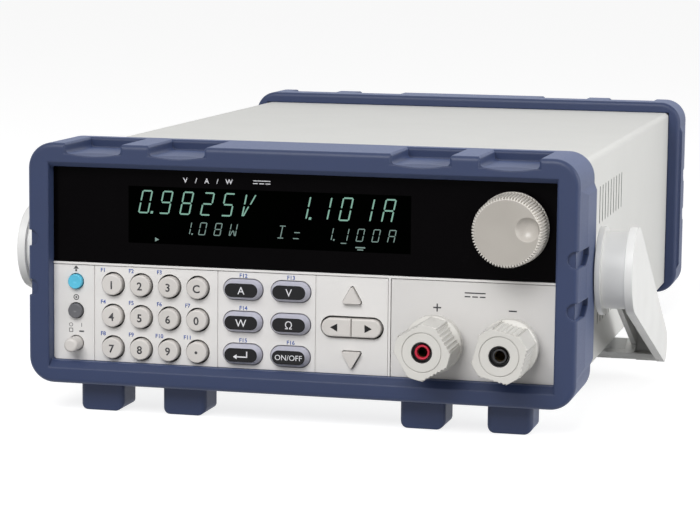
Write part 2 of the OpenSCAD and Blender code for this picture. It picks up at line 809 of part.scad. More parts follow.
module handle() color(white_plastic) placed() translate([0, pivot_y, pivot_z]) {
    both_sides() arm();
    crossbar();
}

boss_gap = 0.3;
boss_end = arm_x1 - arm_wall - boss_gap;
boss_floor = 3;
thread_fit = 0.05;
pivot_head_t = 2.4;
pivot_screw_l = 10;

module pivot_bosses() color(white_plastic) placed() both_sides() difference() {
    along_x(half_w, boss_end) translate([pivot_y, pivot_z]) circle(boss_r);
    along_x(half_w - 1, boss_end - boss_floor) translate([pivot_y, pivot_z])
        circle(pivot_screw_r + thread_fit);
}

module pivot_screws() color(steel) placed() both_sides()
    translate([0, pivot_y, pivot_z]) rotate([0, -90, 0]) {
        translate([0, 0, sheet - half_w]) cylinder(r = 2 * pivot_screw_r, h = pivot_head_t);
        translate([0, 0, -half_w - pivot_screw_l])
            cylinder(r = pivot_screw_r, h = pivot_screw_l + sheet + eps);
    }

// Front panel outlines, drawn in X and Z: one rounded outline inside the bumper's opening, split in three
module panel_outline() {
    h = open_z1 - open_z0 - 2 * fit;
    translate([0, (open_z0 + open_z1) / 2]) round_rect(2 * plate_x, h, open_r);
}

module window_outline() intersection() {
    panel_outline();
    translate([-half_w, split_z]) square([case_w, case_h]);
}

module keypad_outline() intersection() {
    panel_outline();
    translate([-half_w, 0]) square([half_w + terminal_x - groove, split_z - groove]);
}

module terminal_outline() intersection() {
    panel_outline();
    translate([terminal_x, 0]) square([half_w, split_z - groove]);
}

arrow_edge = 0.5;
half_split = 0.3;

// Outline of an up or down key, grown by g
module arrow_outline(up, g) {
    r = arrow_r + 2 * g;
    a = up ? 90 : -90;
    polygon(rounded([for (i = [0:2]) r * [cos(a + 120 * i), sin(a + 120 * i)]], arrow_edge + g));
}

// Outline of the left or right half of the split key, grown by g
module half_outline(side, g) {
    w = arrow_w + 2 * g;
    h = mode_h + 2 * g;
    inner = half_split - g;
    x = w / 2 - h / 2;
    translate([side * (inner + x) / 2, 0]) square([x - inner, h], center = true);
    translate([side * x, 0]) circle(d = h);
}

module key_holes(g) {
    for (r = [0:2], c = [0:3]) translate(pad_at(c, r)) circle(d = pad_d + 2 * g);
    for (r = [0:2], c = [0:1]) translate(mode_at(c, r)) obround(mode_w + 2 * g, mode_h + 2 * g);
    for (r = [0:1]) translate(side_at(r)) circle(d = side_d + 2 * g);
    translate(power_at) circle(d = power_d + 2 * g);
    translate([arrow_x, arrow_z]) {
        obround(arrow_w + 2 * g, mode_h + 2 * g);
        translate([0, arrow_dz]) arrow_outline(true, g);
        translate([0, -arrow_dz]) arrow_outline(false, g);
    }
}

bushing_r = 4.4;

module display_window() color(black_plastic) placed() along_y(0, plate_t) difference() {
    window_outline();
    translate([knob_x, knob_z]) circle(bushing_r + fit);
}

module keypad_plate() color(white_plastic) placed() difference() {
    along_y(0, plate_t) difference() {
        keypad_outline();
        key_holes(key_gap);
    }
    for (share = [divider_side, divider_pad, divider_mode]) translate([across(share), 0, 0])
        box([-divider_w / 2, divider_w / 2], [-1, divider_t], [0, split_z]);
}

post_shank_r = 6;

module terminal_plate() color(white_plastic) placed() along_y(0, plate_t) difference() {
    terminal_outline();
    for (p = post_at) translate(p) circle(post_shank_r + fit);
}

// Front frame behind the plates, with a wall that slides into the cover
field_margin = 0.5;
field_x = [frame_wall + field_margin - inner_x, arrow_x + arrow_w / 2 + collar_w + field_margin];
field_z = [open_z0 + field_margin, split_z - 2.2];
frame_boss_r = 3;
frame_boss_z = (field_z[1] + glass_z0) / 2;
frame_boss_x = [side_x, pad_x + 4 * pad_dx, arrow_x];

// Ribs of the frame that show between the window and the two plates
module frame_ribs() {
    y = [-rib_proud, lip_y + eps];
    z1 = split_z - rib_gap;
    box([-plate_x, plate_x], y, [z1 - groove + 2 * rib_gap, z1]);
    x1 = terminal_x - rib_gap;
    box([x1 - groove + 2 * rib_gap, x1], y, [open_z0 + fit, z1]);
}

module front_frame() color(white_plastic) placed() union() {
    difference() {
        box([-inner_x, inner_x], [lip_y, frame_y + frame_l], [frame_z0, frame_z1]);
        box(
            [frame_wall - inner_x, inner_x - frame_wall], [frame_y, frame_y + frame_l + 1],
            [frame_z0 + frame_wall, frame_z1 - frame_wall]
        );
        box(field_x, [0, frame_y + 1], field_z);
        box([glass_x0 - fit, glass_x1 + fit], [0, frame_y + 1], [glass_z0 - fit, glass_z1 + fit]);
        on_panel(knob_x, knob_z) translate([0, 0, -frame_y - 1])
            cylinder(r = bushing_r + fit, h = frame_y + 1);
        for (p = post_at) on_panel(p[0], p[1]) translate([0, 0, -frame_y - 1])
            cylinder(r = post_shank_r + fit, h = frame_y + 1);
    }
    for (x = frame_boss_x) on_panel(x, frame_boss_z) translate([0, 0, -board_y])
        cylinder(r = frame_boss_r, h = board_gap + eps);
    frame_ribs();
}

module display_glass() color([0.1, 0.16, 0.15]) placed()
    box([glass_x0, glass_x1], [plate_t + fit, board_y], [glass_z0, glass_z1]);

board_x = [field_x[0] + 1, glass_x1 + 0.5];
board_z = [frame_z0 + frame_wall + 1, frame_z1 - frame_wall - 1];
switch_w = 12;
switch_gap = 0.5;
notch_x = side_x + switch_w / 2 + switch_gap;
notch_z = power_at[1] + switch_w / 2 + switch_gap;

module front_board() color(board_green) placed() difference() {
    box(board_x, [board_y, board_y + board_t], board_z);
    box([board_x[0] - 1, notch_x], [board_y - 1, board_y + board_t + 1], [0, notch_z]);
}

// Silicone mat with one dome behind each key
mat_t = 1;
key_play = 0.1;
dome_r = 3.6;
dome_top_r = 2.4;
dome_gap = 0.3;
dome_y = plate_t + key_play + collar_t + key_travel + dome_gap;

module dome(p) {
    on_panel(p[0], p[1]) translate([0, 0, -(board_y - mat_t) - eps])
        cylinder(r1 = dome_r, r2 = dome_top_r, h = board_y - mat_t - dome_y + eps);
}

module key_mat() color([0.75, 0.75, 0.72]) placed() union() {
    difference() {
        z = [field_z[0] + fit, field_z[1] - fit];
        box([board_x[0], field_x[1] - fit], [board_y - mat_t, board_y], z);
        box([field_x[0], notch_x], [board_y - mat_t - 1, board_y + 1], [0, notch_z]);
    }
    for (r = [0:2], c = [0:3]) dome(pad_at(c, r));
    for (r = [0:2], c = [0:1]) dome(mode_at(c, r));
    for (r = [0:1]) dome(side_at(r));
    for (s = [-1, 1]) {
        dome([arrow_x + s * arrow_w / 4, arrow_z]);
        dome([arrow_x, arrow_z + s * arrow_dz]);
    }
}

// Collar of a key, just behind its plate
module key_collar() {
    translate([0, 0, -plate_t - key_play - collar_t]) linear_extrude(collar_t) children();
}

module key_cap(proud) {
    translate([0, 0, -plate_t - key_play - eps]) linear_extrude(plate_t + key_play + eps + proud)
        children();
}

// Round key with a dished face
key_edge = 0.5;
pad_dish = 0.3;
side_dish = 0.2;

module round_key(d, proud, dish) {
    dish_r = (d * d / 4 + dish * dish) / (2 * dish);
    key_collar() circle(d = d + 2 * collar_w);
    difference() {
        translate([0, 0, -plate_t - key_play - eps])
            rounded_disc(d / 2, plate_t + key_play + eps + proud, key_edge);
        translate([0, 0, proud - dish + dish_r]) sphere(dish_r);
    }
}

module pad_key(c, r) color(key_grey) placed() on_panel(pad_at(c, r)[0], pad_at(c, r)[1])
    round_key(pad_d, pad_proud, pad_dish);

side_colors = [[0.3, 0.75, 0.85], [0.35, 0.35, 0.36]];

module side_key(r) color(side_colors[r]) placed() on_panel(side_at(r)[0], side_at(r)[1])
    round_key(side_d, side_proud, side_dish);

// Obround block that draws in by rim over its height t
module tapered_obround(w, h, rim, t) {
    x = (w - h) / 2;
    along_x(-x, x) polygon([[-h / 2, 0], [h / 2, 0], [h / 2 - rim, t], [rim - h / 2, t]]);
    for (s = [-x, x]) translate([s, 0, 0]) cylinder(d1 = h, d2 = h - 2 * rim, h = t);
}

// Mode key: a pale obround body that tapers to a dark face
module mode_key(c, r) color([0.7, 0.7, 0.75]) placed() on_panel(mode_at(c, r)[0], mode_at(c, r)[1]) {
    key_collar() obround(mode_w + 2 * collar_w, mode_h + 2 * collar_w);
    key_cap(mode_side) obround(mode_w, mode_h);
    translate([0, 0, mode_side - eps])
        tapered_obround(mode_w, mode_h, face_rim, mode_proud - mode_side + eps);
}

module arrow_key(up) color(key_grey) placed()
    on_panel(arrow_x, arrow_z + (up ? arrow_dz : -arrow_dz)) {
        key_collar() arrow_outline(up, collar_w);
        key_cap(arrow_proud) arrow_outline(up, 0);
    }

module half_key(side) color(key_grey) placed() on_panel(arrow_x, arrow_z) {
    key_collar() intersection() {
        obround(arrow_w + 2 * collar_w, mode_h + 2 * collar_w);
        x = side > 0 ? half_split : -arrow_w - half_split;
        translate([x, -mode_h]) square([arrow_w, 2 * mode_h]);
    }
    key_cap(arrow_proud) half_outline(side, 0);
}

// Power button with its plunger, and the latching switch behind it
plunger_r = 2;
plunger_end = 14;
switch_y = 12;
switch_l = 20;
power_edge = 1.2;
plunger_fit = 0.3;

module power_button() color(white_plastic) placed() on_panel(power_at[0], power_at[1]) {
    translate([0, 0, -plate_t - key_play - collar_t]) cylinder(d = power_d + 2 * collar_w, h = collar_t);
    translate([0, 0, -plate_t - key_play - eps])
        rounded_disc(power_d / 2, plate_t + key_play + eps + power_proud, power_edge);
    translate([0, 0, -plunger_end]) cylinder(r = plunger_r, h = plunger_end - plate_t);
}

module power_switch() color(black_plastic) placed() difference() {
    box(
        [power_at[0] - switch_w / 2, power_at[0] + switch_w / 2], [switch_y, switch_y + switch_l],
        [frame_z0 + frame_wall, power_at[1] + switch_w / 2]
    );
    on_panel(power_at[0], power_at[1]) translate([0, 0, -plunger_end - power_travel - 1])
        cylinder(r = plunger_r + plunger_fit, h = plunger_end);
}

// Knob: a fluted, slightly tapered body with a finger dimple
shaft_front = knob_gap + knob_l - 4;
shaft_end_gap = 0.3;
knob_rim_t = 1.2;
knob_edge = 0.6;
flute_r = knob_d / 2 - 0.4;

module knob() color([0.68, 0.66, 0.63]) placed() on_panel(knob_x, knob_z) difference() {
    intersection() {
        translate([0, 0, knob_gap]) rotate_extrude() polygon([
            [0, 0], [knob_d / 2, 0], [knob_d / 2, knob_rim_t], [knob_face_d / 2, knob_l - knob_edge],
            [knob_face_d / 2 - knob_edge, knob_l], [0, knob_l]
        ]);
        union() {
            translate([0, 0, knob_gap]) cylinder(d = knob_d, h = knob_rim_t);
            translate([0, 0, knob_gap + knob_rim_t - eps]) linear_extrude(knob_l) polygon([
                for (i = [0:2 * knob_flutes - 1]) let (r = flute_r - (i % 2) * flute_t)
                r * [cos(180 * i / knob_flutes), sin(180 * i / knob_flutes)]
            ]);
            cylinder(r = knob_face_d / 2 - flute_t, h = knob_gap + knob_l);
        }
    }
    dimple_r = (dimple_d * dimple_d / 4 + dimple_t * dimple_t) / (2 * dimple_t);
    translate([dimple_x, dimple_z, knob_gap + knob_l - dimple_t + dimple_r]) sphere(dimple_r);
    cylinder(r = shaft_r + shaft_fit, h = shaft_front + shaft_end_gap);
}

encoder_w = 14;
encoder_t = 8;
bushing_gap = 0.4;
encoder_floor = 0.6;

module encoder_shaft() color(steel) placed() on_panel(knob_x, knob_z)
    translate([0, 0, 1 - frame_y - encoder_t])
        cylinder(r = shaft_r, h = frame_y + encoder_t - 1 + shaft_front);

module encoder_body() color(steel) placed() on_panel(knob_x, knob_z) difference() {
    union() {
        translate([-encoder_w / 2, -encoder_w / 2, -frame_y - encoder_t])
            cube([encoder_w, encoder_w, encoder_t]);
        translate([0, 0, -frame_y - eps]) cylinder(r = bushing_r, h = frame_y - bushing_gap);
    }
    translate([0, 0, encoder_floor - frame_y - encoder_t])
        cylinder(r = shaft_r + shaft_fit, h = frame_y + encoder_t);
}

// Binding posts: insulating collar, threaded stud with a plug socket, and a turned cap with six flats
stud_back = 26;
ring_t = 2;
ring_gap = 0.3;
stud_front = post_reach - 1 - ring_t;
cap_gap = 0.3;
cap_back = collar_l + cap_gap;
cap_edge = 0.6;
skirt_ramp = 2;
face_line_d = 15.5;
face_line_w = 0.3;
face_line_t = 0.3;
collar_edge = 0.8;
shank_l = frame_y + 2;
shank_flange = 2;
nut_r = 5.5;
nut_t = 3;
nut_gap = 0.1;

module at_posts() {
    for (p = post_at) on_panel(p[0], p[1]) children();
}

module post_collars() color(white_plastic) placed() at_posts() difference() {
    union() {
        rounded_disc(collar_d / 2, collar_l, collar_edge);
        translate([0, 0, -shank_l]) cylinder(r = post_shank_r, h = shank_l + eps);
        translate([0, 0, -shank_l]) cylinder(r = post_shank_r + shank_flange, h = shank_l - frame_y - fit);
    }
    translate([0, 0, -shank_l - 1]) cylinder(r = stud_r + thread_fit, h = shank_l + collar_l + 2);
}

module post_studs() color(brass) placed() at_posts() difference() {
    union() {
        translate([0, 0, -stud_back]) cylinder(r = stud_r, h = stud_back + stud_front);
        translate([0, 0, -shank_l - nut_gap - nut_t]) cylinder(r = nut_r, h = nut_t, $fn = 6);
    }
    translate([0, 0, stud_front - socket_l]) cylinder(r = socket_r, h = socket_l + 1);
}

// Outline of a cap in front of its skirt: plain flats on the lobes, ribbed flats sunk between them
module cap_outline() {
    pitch = grip_w / grip_ribs;
    difference() {
        intersection() {
            circle(d = cap_d);
            square(cap_af, center = true);
        }
        for (a = [45:90:315]) rotate(a) translate([cap_grip_af / 2, -grip_w / 2]) square([cap_d, grip_w]);
    }
    for (a = [45:90:315], i = [0:grip_ribs - 1]) rotate(a)
        translate([cap_grip_af / 2 - eps, (i + 0.5) * pitch - grip_w / 2])
        polygon([[0, -pitch / 3], [grip_rib_t, 0], [0, pitch / 3]]);
}

module post_cap(p, a) color(white_plastic) placed() on_panel(p[0], p[1]) difference() {
    l = post_reach - cap_back;
    translate([0, 0, cap_back]) intersection() {
        rotate_extrude() polygon([
            [0, 0], [cap_d / 2 - cap_edge, 0], [cap_d / 2, cap_edge], [cap_d / 2, l - cap_edge],
            [cap_d / 2 - cap_edge, l], [0, l]
        ]);
        union() {
            cylinder(d = cap_d + 1, h = skirt_l - skirt_ramp);
            translate([0, 0, skirt_l - skirt_ramp - eps])
                cylinder(d1 = cap_d + 1, d2 = cap_grip_af, h = skirt_ramp);
            linear_extrude(l + 1) rotate(a) cap_outline();
        }
    }
    translate([0, 0, cap_back - 1]) cylinder(r = stud_r + shaft_fit, h = post_reach);
    translate([0, 0, stud_front - 0.5]) cylinder(r = well_r, h = post_reach);
    translate([0, 0, post_reach - face_line_t]) difference() {
        cylinder(d = face_line_d + face_line_w, h = 1);
        translate([0, 0, -1]) cylinder(d = face_line_d - face_line_w, h = 3);
    }
}

module cap_positive() post_cap(post_at[0], cap_turn_left);
module cap_negative() post_cap(post_at[1], cap_turn_right);

module socket_ring(p) {
    placed() on_panel(p[0], p[1]) translate([0, 0, stud_front]) difference() {
        cylinder(r = stud_r, h = ring_t);
        translate([0, 0, -1]) cylinder(r = socket_r + ring_gap, h = ring_t + 2);
    }
}

module ring_positive() color([0.75, 0.1, 0.2]) socket_ring(post_at[0]);
module ring_negative() color(black_plastic) socket_ring(post_at[1]);

// Main board on its standoffs, with the tall capacitors and relays it carries
capacitor_r = 9;
capacitor_h = 28;
capacitor_dx = 22;
capacitor_dy = 25;
relay_w = 22;
relay_l = 12;
relay_h = 16;
relay_dy = 20;

module main_board() color(board_green) placed() {
    z = sheet + standoff_h;
    top = z + board_t - eps;
    box(main_x, main_y, [z, z + board_t]);
    translate([main_x[0] + 2 * capacitor_r, main_y[0] + 3 * capacitor_r, top])
        for (i = [0:1], j = [0:1]) translate([i * capacitor_dx, j * capacitor_dy, 0])
        cylinder(r = capacitor_r, h = capacitor_h);
    translate([main_x[1] - relay_w - standoff_in, main_y[1] - 3 * relay_dy, top])
        for (j = [0:1]) translate([0, j * relay_dy, 0]) cube([relay_w, relay_l, relay_h]);
}

// Mains transformer: laminated core through a wound bobbin
core_w = 50;
core_l = 28;
core_h = 44.8;
bobbin_w = 34;
bobbin_l = 48;
bobbin_h = 30;
bobbin_r = 4;
core_gap = 10;

module transformer() color([0.35, 0.33, 0.3]) placed()
    translate([main_x[0] + core_w / 2, main_y[1] + core_gap + bobbin_l / 2, sheet + core_h / 2]) {
        cube([core_w, core_l, core_h], center = true);
        along_y(-bobbin_l / 2, bobbin_l / 2) round_rect(bobbin_w, bobbin_h, bobbin_r);
    }

// Heat sink: a finned extrusion on two rails, in the fan's air stream
sink_base = 6;
sink_z = 10;
rail_w = 8;
fin_t = 2;
fin_h = 46;
sink_y1 = rear_y - fan_t - 4;

module sink_outline() {
    pitch = (sink_w - fin_t) / (sink_fins - 1);
    translate([0, sink_z]) square([sink_w, sink_base]);
    for (i = [0:sink_fins - 1]) translate([i * pitch, sink_z + sink_base - eps]) square([fin_t, fin_h]);
    for (x = [0, sink_w - rail_w]) translate([x, sheet]) square([rail_w, sink_z - sheet + eps]);
}

module heat_sink() color([0.6, 0.62, 0.64]) placed()
    along_y(sink_y1 - sink_l, sink_y1) translate([fan_x - sink_w / 2, 0]) sink_outline();

// Axial fan behind the rear grille
fan_hub_r = 13;
fan_strut = 4;
fan_hole_r = 2;
fan_hole_in = 5;
blade_t = 1.6;
blade_a = 40;
fan_pin_r = 1.5;
fan_gap = 0.8;
fan_y0 = rear_y - fan_t;

module fan_housing() color(black_plastic) placed() translate([fan_x, 0, fan_z]) {
    along_y(fan_y0, rear_y) difference() {
        round_rect(fan_w, fan_w, 3);
        circle(fan_r);
        for (x = [-1, 1], z = [-1, 1]) translate((fan_w / 2 - fan_hole_in) * [x, z]) circle(fan_hole_r);
    }
    along_y(rear_y - fan_strut, rear_y) {
        circle(fan_hub_r);
        for (a = [0, 90]) rotate(a) square([2 * fan_r + 1, fan_strut], center = true);
    }
    along_y(fan_y0 + fan_strut, rear_y - fan_strut + eps) circle(fan_pin_r);
}

module fan_rotor() color(black_plastic) placed() translate([fan_x, 0, fan_z]) difference() {
    y1 = rear_y - fan_strut - fan_gap;
    union() {
        along_y(fan_y0 + 1, y1) circle(fan_hub_r);
        intersection() {
            along_y(fan_y0 + 2, y1 - 1) circle(fan_r - fan_gap);
            for (i = [0:fan_blades - 1]) rotate([0, i * 360 / fan_blades, 0])
                translate([0, (fan_y0 + y1) / 2, 0]) rotate([0, 0, blade_a])
                translate([-blade_t / 2, -fan_t, fan_hub_r - 2]) cube([blade_t, 2 * fan_t, fan_r]);
        }
    }
    along_y(fan_y0 + fan_strut - bushing_gap, y1 + 1) circle(fan_pin_r + pivot_fit);
}

// Rear sockets
inlet_flange_w = 48;
inlet_flange_h = 22.6;
inlet_flange_r = 3;
inlet_flange_t = 3;
inlet_depth = 22;
inlet_floor = 4;
inlet_mouth_w = 24;
inlet_mouth_h = 16;
inlet_mouth_cut = 4.5;
inlet_mouth_r = 1.2;
inlet_pins = [[-7, -2], [7, -2], [0, 2]];
inlet_pin = [2, 4];
sense_back = 12;
sense_front = 5;
sense_n = 4;
sense_pitch = 6;
sense_hole_r = 1.9;
sense_hole_z = -1;
sense_hole_l = 11;
port_back = 10;
port_flange_w = 31;
port_flange_h = 12.4;
port_flange_t = 1;
port_shell_l = 5.5;
port_draft = 1.3;
port_r = 1.5;

module power_inlet() color(black_plastic) placed() translate([inlet_x, 0, inlet_z]) {
    difference() {
        union() {
            along_y(case_d, case_d + inlet_flange_t)
                round_rect(inlet_flange_w, inlet_flange_h, inlet_flange_r);
            along_y(case_d - inlet_depth, case_d + eps) square([inlet_w, inlet_h], center = true);
        }
        along_y(case_d - inlet_depth + inlet_floor, case_d + inlet_flange_t + 1) inlet_mouth();
    }
    for (p = inlet_pins) along_y(case_d - inlet_depth + inlet_floor - eps, case_d - inlet_floor)
        translate(p) square(inlet_pin, center = true);
}

// Mouth of the inlet: a rectangle with its two upper corners cut
module inlet_mouth() {
    x = inlet_mouth_w / 2;
    z = inlet_mouth_h / 2;
    c = inlet_mouth_cut;
    polygon(rounded([[-x, -z], [x, -z], [x, z - c], [x - c, z], [c - x, z], [-x, z - c]], inlet_mouth_r));
}

module sense_terminals() color([0.15, 0.4, 0.2]) placed() translate([inlet_x, 0, sense_z]) difference() {
    y1 = case_d + sense_front;
    box([-sense_w / 2, sense_w / 2], [case_d - sense_back, y1], [-sense_h / 2, sense_h / 2]);
    for (i = [0:sense_n - 1]) along_y(y1 - sense_hole_l, y1 + 1)
        translate([(i - (sense_n - 1) / 2) * sense_pitch, sense_hole_z]) circle(sense_hole_r);
}

module data_port() color(steel) placed() translate([port_x, 0, port_z]) {
    along_y(case_d, case_d + port_flange_t) round_rect(port_flange_w, port_flange_h, 1);
    along_y(case_d - port_back, case_d + eps) square([port_w, port_h], center = true);
    along_y(case_d + port_flange_t - eps, case_d + port_shell_l) polygon(rounded([
        [-port_w / 2, port_h / 2], [port_w / 2, port_h / 2],
        [port_w / 2 - port_draft, -port_h / 2], [port_draft - port_w / 2, -port_h / 2]
    ], port_r));
}

cover();
chassis();
rear_panel();
case_screws();
front_bumper();
rear_bumper();
handle();
pivot_bosses();
pivot_screws();
front_frame();
display_window();
keypad_plate();
terminal_plate();
display_glass();
front_board();
key_mat();
power_switch();
power_button();
knob();
encoder_shaft();
encoder_body();
post_collars();
post_studs();
cap_positive();
cap_negative();
ring_positive();
ring_negative();
main_board();
transformer();
heat_sink();
fan_housing();
fan_rotor();
power_inlet();
sense_terminals();
data_port();
arrow_key(true);  // key_up
arrow_key(false);  // key_down
half_key(-1);  // key_left
half_key(1);  // key_right
for (r = [0:1]) side_key(r);
for (r = [0:2], c = [0:3]) pad_key(c, r);
for (r = [0:2], c = [0:1]) mode_key(c, r);
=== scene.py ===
import math

import bmesh
import bpy
from mathutils import Matrix, Vector
from mathutils.bvhtree import BVHTree


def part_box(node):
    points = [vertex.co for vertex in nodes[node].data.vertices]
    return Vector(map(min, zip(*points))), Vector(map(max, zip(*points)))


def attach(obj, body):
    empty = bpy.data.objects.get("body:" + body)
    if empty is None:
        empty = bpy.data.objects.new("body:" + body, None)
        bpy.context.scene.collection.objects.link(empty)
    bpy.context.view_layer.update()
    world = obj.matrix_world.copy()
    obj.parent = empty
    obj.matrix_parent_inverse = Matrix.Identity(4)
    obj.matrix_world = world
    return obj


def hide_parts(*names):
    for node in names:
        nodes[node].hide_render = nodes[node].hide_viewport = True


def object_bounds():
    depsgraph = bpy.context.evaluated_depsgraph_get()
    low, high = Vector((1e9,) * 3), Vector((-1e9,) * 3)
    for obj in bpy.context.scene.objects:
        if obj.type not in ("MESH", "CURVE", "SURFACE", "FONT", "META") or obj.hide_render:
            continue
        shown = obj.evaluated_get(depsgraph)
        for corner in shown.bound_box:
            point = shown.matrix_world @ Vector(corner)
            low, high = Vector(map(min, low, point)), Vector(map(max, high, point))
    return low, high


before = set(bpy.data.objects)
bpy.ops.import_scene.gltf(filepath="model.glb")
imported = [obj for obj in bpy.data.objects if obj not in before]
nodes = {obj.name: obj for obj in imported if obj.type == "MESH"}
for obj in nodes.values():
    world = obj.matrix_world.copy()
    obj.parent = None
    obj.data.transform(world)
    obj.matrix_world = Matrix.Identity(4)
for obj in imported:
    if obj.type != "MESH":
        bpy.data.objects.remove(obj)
cad_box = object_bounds()

MM = 0.001
# Face of the front panel and underside of the case in the shared frame
PANEL_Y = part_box("keypad_plate")[0].y
CASE_Z = 17.7 * MM
# Thickness of a printed film, and height of a capital of the built-in font at size 1
FILM = 0.03 * MM
CAPITAL = 0.729


# Materials

def srgb(code):
    """An sRGB hex colour as linear RGBA."""
    parts = [int(code[i:i + 2], 16) / 255 for i in (0, 2, 4)]
    return tuple(c / 12.92 if c <= 0.04045 else ((c + 0.055) / 1.055) ** 2.4 for c in parts) + (1.0,)


def add(tree, kind, inputs, **settings):
    """Adds a shader node: its settings first, then each input is linked to a socket or set to a value."""
    node = tree.nodes.new("ShaderNode" + kind)
    for key, value in settings.items():
        setattr(node, key, value)
    for key, value in inputs.items():
        if isinstance(value, bpy.types.NodeSocket):
            tree.links.new(value, node.inputs[key])
        else:
            node.inputs[key].default_value = value
    return node


def finish_of(name):
    """A new material with an empty tree, its output node and the object coordinates of the piece."""
    material = bpy.data.materials.new(name)
    material.use_nodes = True
    tree = material.node_tree
    tree.nodes.clear()
    output = add(tree, "OutputMaterial", {})
    place = add(tree, "TexCoord", {}).outputs["Object"]
    return material, tree, output, place


def per_mm(size):
    """Noise scale for features about size millimetres across."""
    return 1 / (size * MM)


def moulded(name, colour, worn, grain, depth, rough, edge, specular=0.5, bloom=0.0):
    """Moulded plastic or rubber: spark-eroded grain of a given size, cloudy colour and softly broken edges.
    Bloom is the pale haze that rubber shows at a low angle."""
    material, tree, output, place = finish_of(name)
    cloud = add(tree, "TexNoise", {"Vector": place, "Scale": per_mm(26), "Detail": 3.0})
    speck = add(tree, "TexNoise", {"Vector": place, "Scale": per_mm(grain), "Detail": 2.0, "Roughness": 0.6})
    blend = add(tree, "MapRange", {"Value": cloud.outputs[0], "From Min": 0.35, "From Max": 0.7})
    tint = add(tree, "Mix", {0: blend.outputs[0], 6: srgb(colour), 7: srgb(worn)}, data_type="RGBA")
    gloss = add(tree, "MapRange", {"Value": speck.outputs[0], "From Min": 0.3, "From Max": 0.7,
                                   "To Min": rough - 0.05, "To Max": rough + 0.07})
    soft = add(tree, "Bevel", {"Radius": edge * MM}, samples=6)
    bump = add(tree, "Bump", {"Height": speck.outputs[0], "Strength": 0.5, "Distance": depth * MM,
                              "Normal": soft.outputs[0]})
    shader = add(tree, "BsdfPrincipled", {"Base Color": tint.outputs[2], "Roughness": gloss.outputs[0],
                                          "IOR": 1.5, "Specular IOR Level": specular,
                                          "Sheen Weight": bloom, "Sheen Tint": srgb("b4c8ff"),
                                          "Normal": bump.outputs[0]})
    tree.links.new(shader.outputs[0], output.inputs[0])
    return material


def metal(name, colour, stain, rough, streak, along):
    """Bare or plated metal: fine drawn lines along one axis and a faint stain in the colour."""
    material, tree, output, place = finish_of(name)
    stretch = [per_mm(streak)] * 3
    stretch[along] = per_mm(streak * 40)
    lines = add(tree, "Mapping", {"Vector": place, "Scale": stretch})
    drawn = add(tree, "TexNoise", {"Vector": lines.outputs[0], "Scale": 1.0, "Detail": 3.0})
    cloud = add(tree, "TexNoise", {"Vector": place, "Scale": per_mm(14), "Detail": 4.0})
    tint = add(tree, "Mix", {0: cloud.outputs[0], 6: srgb(colour), 7: srgb(stain)}, data_type="RGBA")
    gloss = add(tree, "MapRange", {"Value": drawn.outputs[0], "To Min": rough - 0.08, "To Max": rough + 0.12})
    bump = add(tree, "Bump", {"Height": drawn.outputs[0], "Strength": 0.4, "Distance": 0.02 * MM})
    shader = add(tree, "BsdfPrincipled", {"Base Color": tint.outputs[2], "Metallic": 1.0,
                                          "Roughness": gloss.outputs[0], "Normal": bump.outputs[0]})
    tree.links.new(shader.outputs[0], output.inputs[0])
    return material


# Powder-coated steel: pale grey with a fine orange-peel skin that softens the highlights
powder_coat = moulded("powder_coated_steel", "d6d6d3", "d4d4d1", 0.9, 0.03, 0.5, 0.3, specular=0.3)
# Moulded elastomer: slate blue, matt, a fine grain that greys where light grazes it
elastomer = moulded("moulded_elastomer", "13254a", "122346", 0.5, 0.05, 0.5, 0.9, bloom=0.24)
# Injection-moulded ABS of the handle: white, satin
handle_abs = moulded("satin_moulded_abs_white", "e0e0de", "d9d9d7", 0.6, 0.02, 0.42, 0.5)
# Textured ABS of the front panel: warm pale grey
panel_abs = moulded("textured_moulded_abs_panel", "dad8d6", "d4d2d0", 0.5, 0.02, 0.5, 0.25)
# Terminal plate: the same plastic, a shade deeper as painted shade to offset the side lamp on that end
terminal_abs_painted_shade = moulded("textured_moulded_abs_terminal_painted_shade", "cfcdcb", "cac8c6", 0.5, 0.02, 0.5, 0.25)
# Keys: warm grey ABS, a little glossier where fingers polish them
key_abs = moulded("moulded_abs_key_grey", "cac6c2", "c3bfbb", 0.5, 0.015, 0.4, 0.35)
# Mode keys: cool grey polycarbonate that passes a little light
mode_pc = moulded("moulded_polycarbonate_grey", "b2b2be", "a9a9b6", 0.6, 0.01, 0.35, 0.3)
# Cyan and dark grey ABS of the two function keys
cyan_abs = moulded("moulded_abs_cyan", "55b9d6", "4db0ce", 0.5, 0.015, 0.4, 0.35)
dark_abs = moulded("moulded_abs_dark_grey", "5c5c60", "545458", 0.5, 0.015, 0.4, 0.35)
# Knob: warm grey ABS with a matt grain
knob_abs = moulded("matt_moulded_abs_grey", "a9a49d", "a19c95", 0.5, 0.02, 0.5, 0.3)
# Dimple and ribs of the knob: the same plastic, a little smoother, and paler as a painted highlight where they catch
# the light
dimple_abs_painted_highlight = moulded("smooth_moulded_abs_grey_painted_highlight_dimple", "b8b3ac", "b0aba4", 0.5, 0.005, 0.3, 0.05)
rib_abs_painted_highlight = moulded("moulded_abs_grey_painted_highlight_ribs", "cfcbc4", "c6c2bb", 0.5, 0.01, 0.4, 0.05)
# Binding posts: off-white nylon, waxy
post_nylon = moulded("moulded_nylon_white", "cccac5", "c6c4bf", 0.8, 0.02, 0.38, 0.35)
# Red and black socket plastic
red_abs = moulded("moulded_abs_red", "bd1838", "ad1433", 0.6, 0.01, 0.3, 0.2)
black_pbt = moulded("moulded_pbt_black", "1b1b1d", "242427", 0.6, 0.02, 0.42, 0.25)
# Silicone rubber of the key mat, made dark as painted shade in the gaps round the keys, and the green terminal block
key_mat_gap_shade = moulded("moulded_silicone_painted_gap_shade", "28282a", "2e2e30", 0.8, 0.02, 0.55, 0.2)
green_pa = moulded("moulded_polyamide_green", "2e7a44", "286e3c", 0.6, 0.02, 0.42, 0.25)
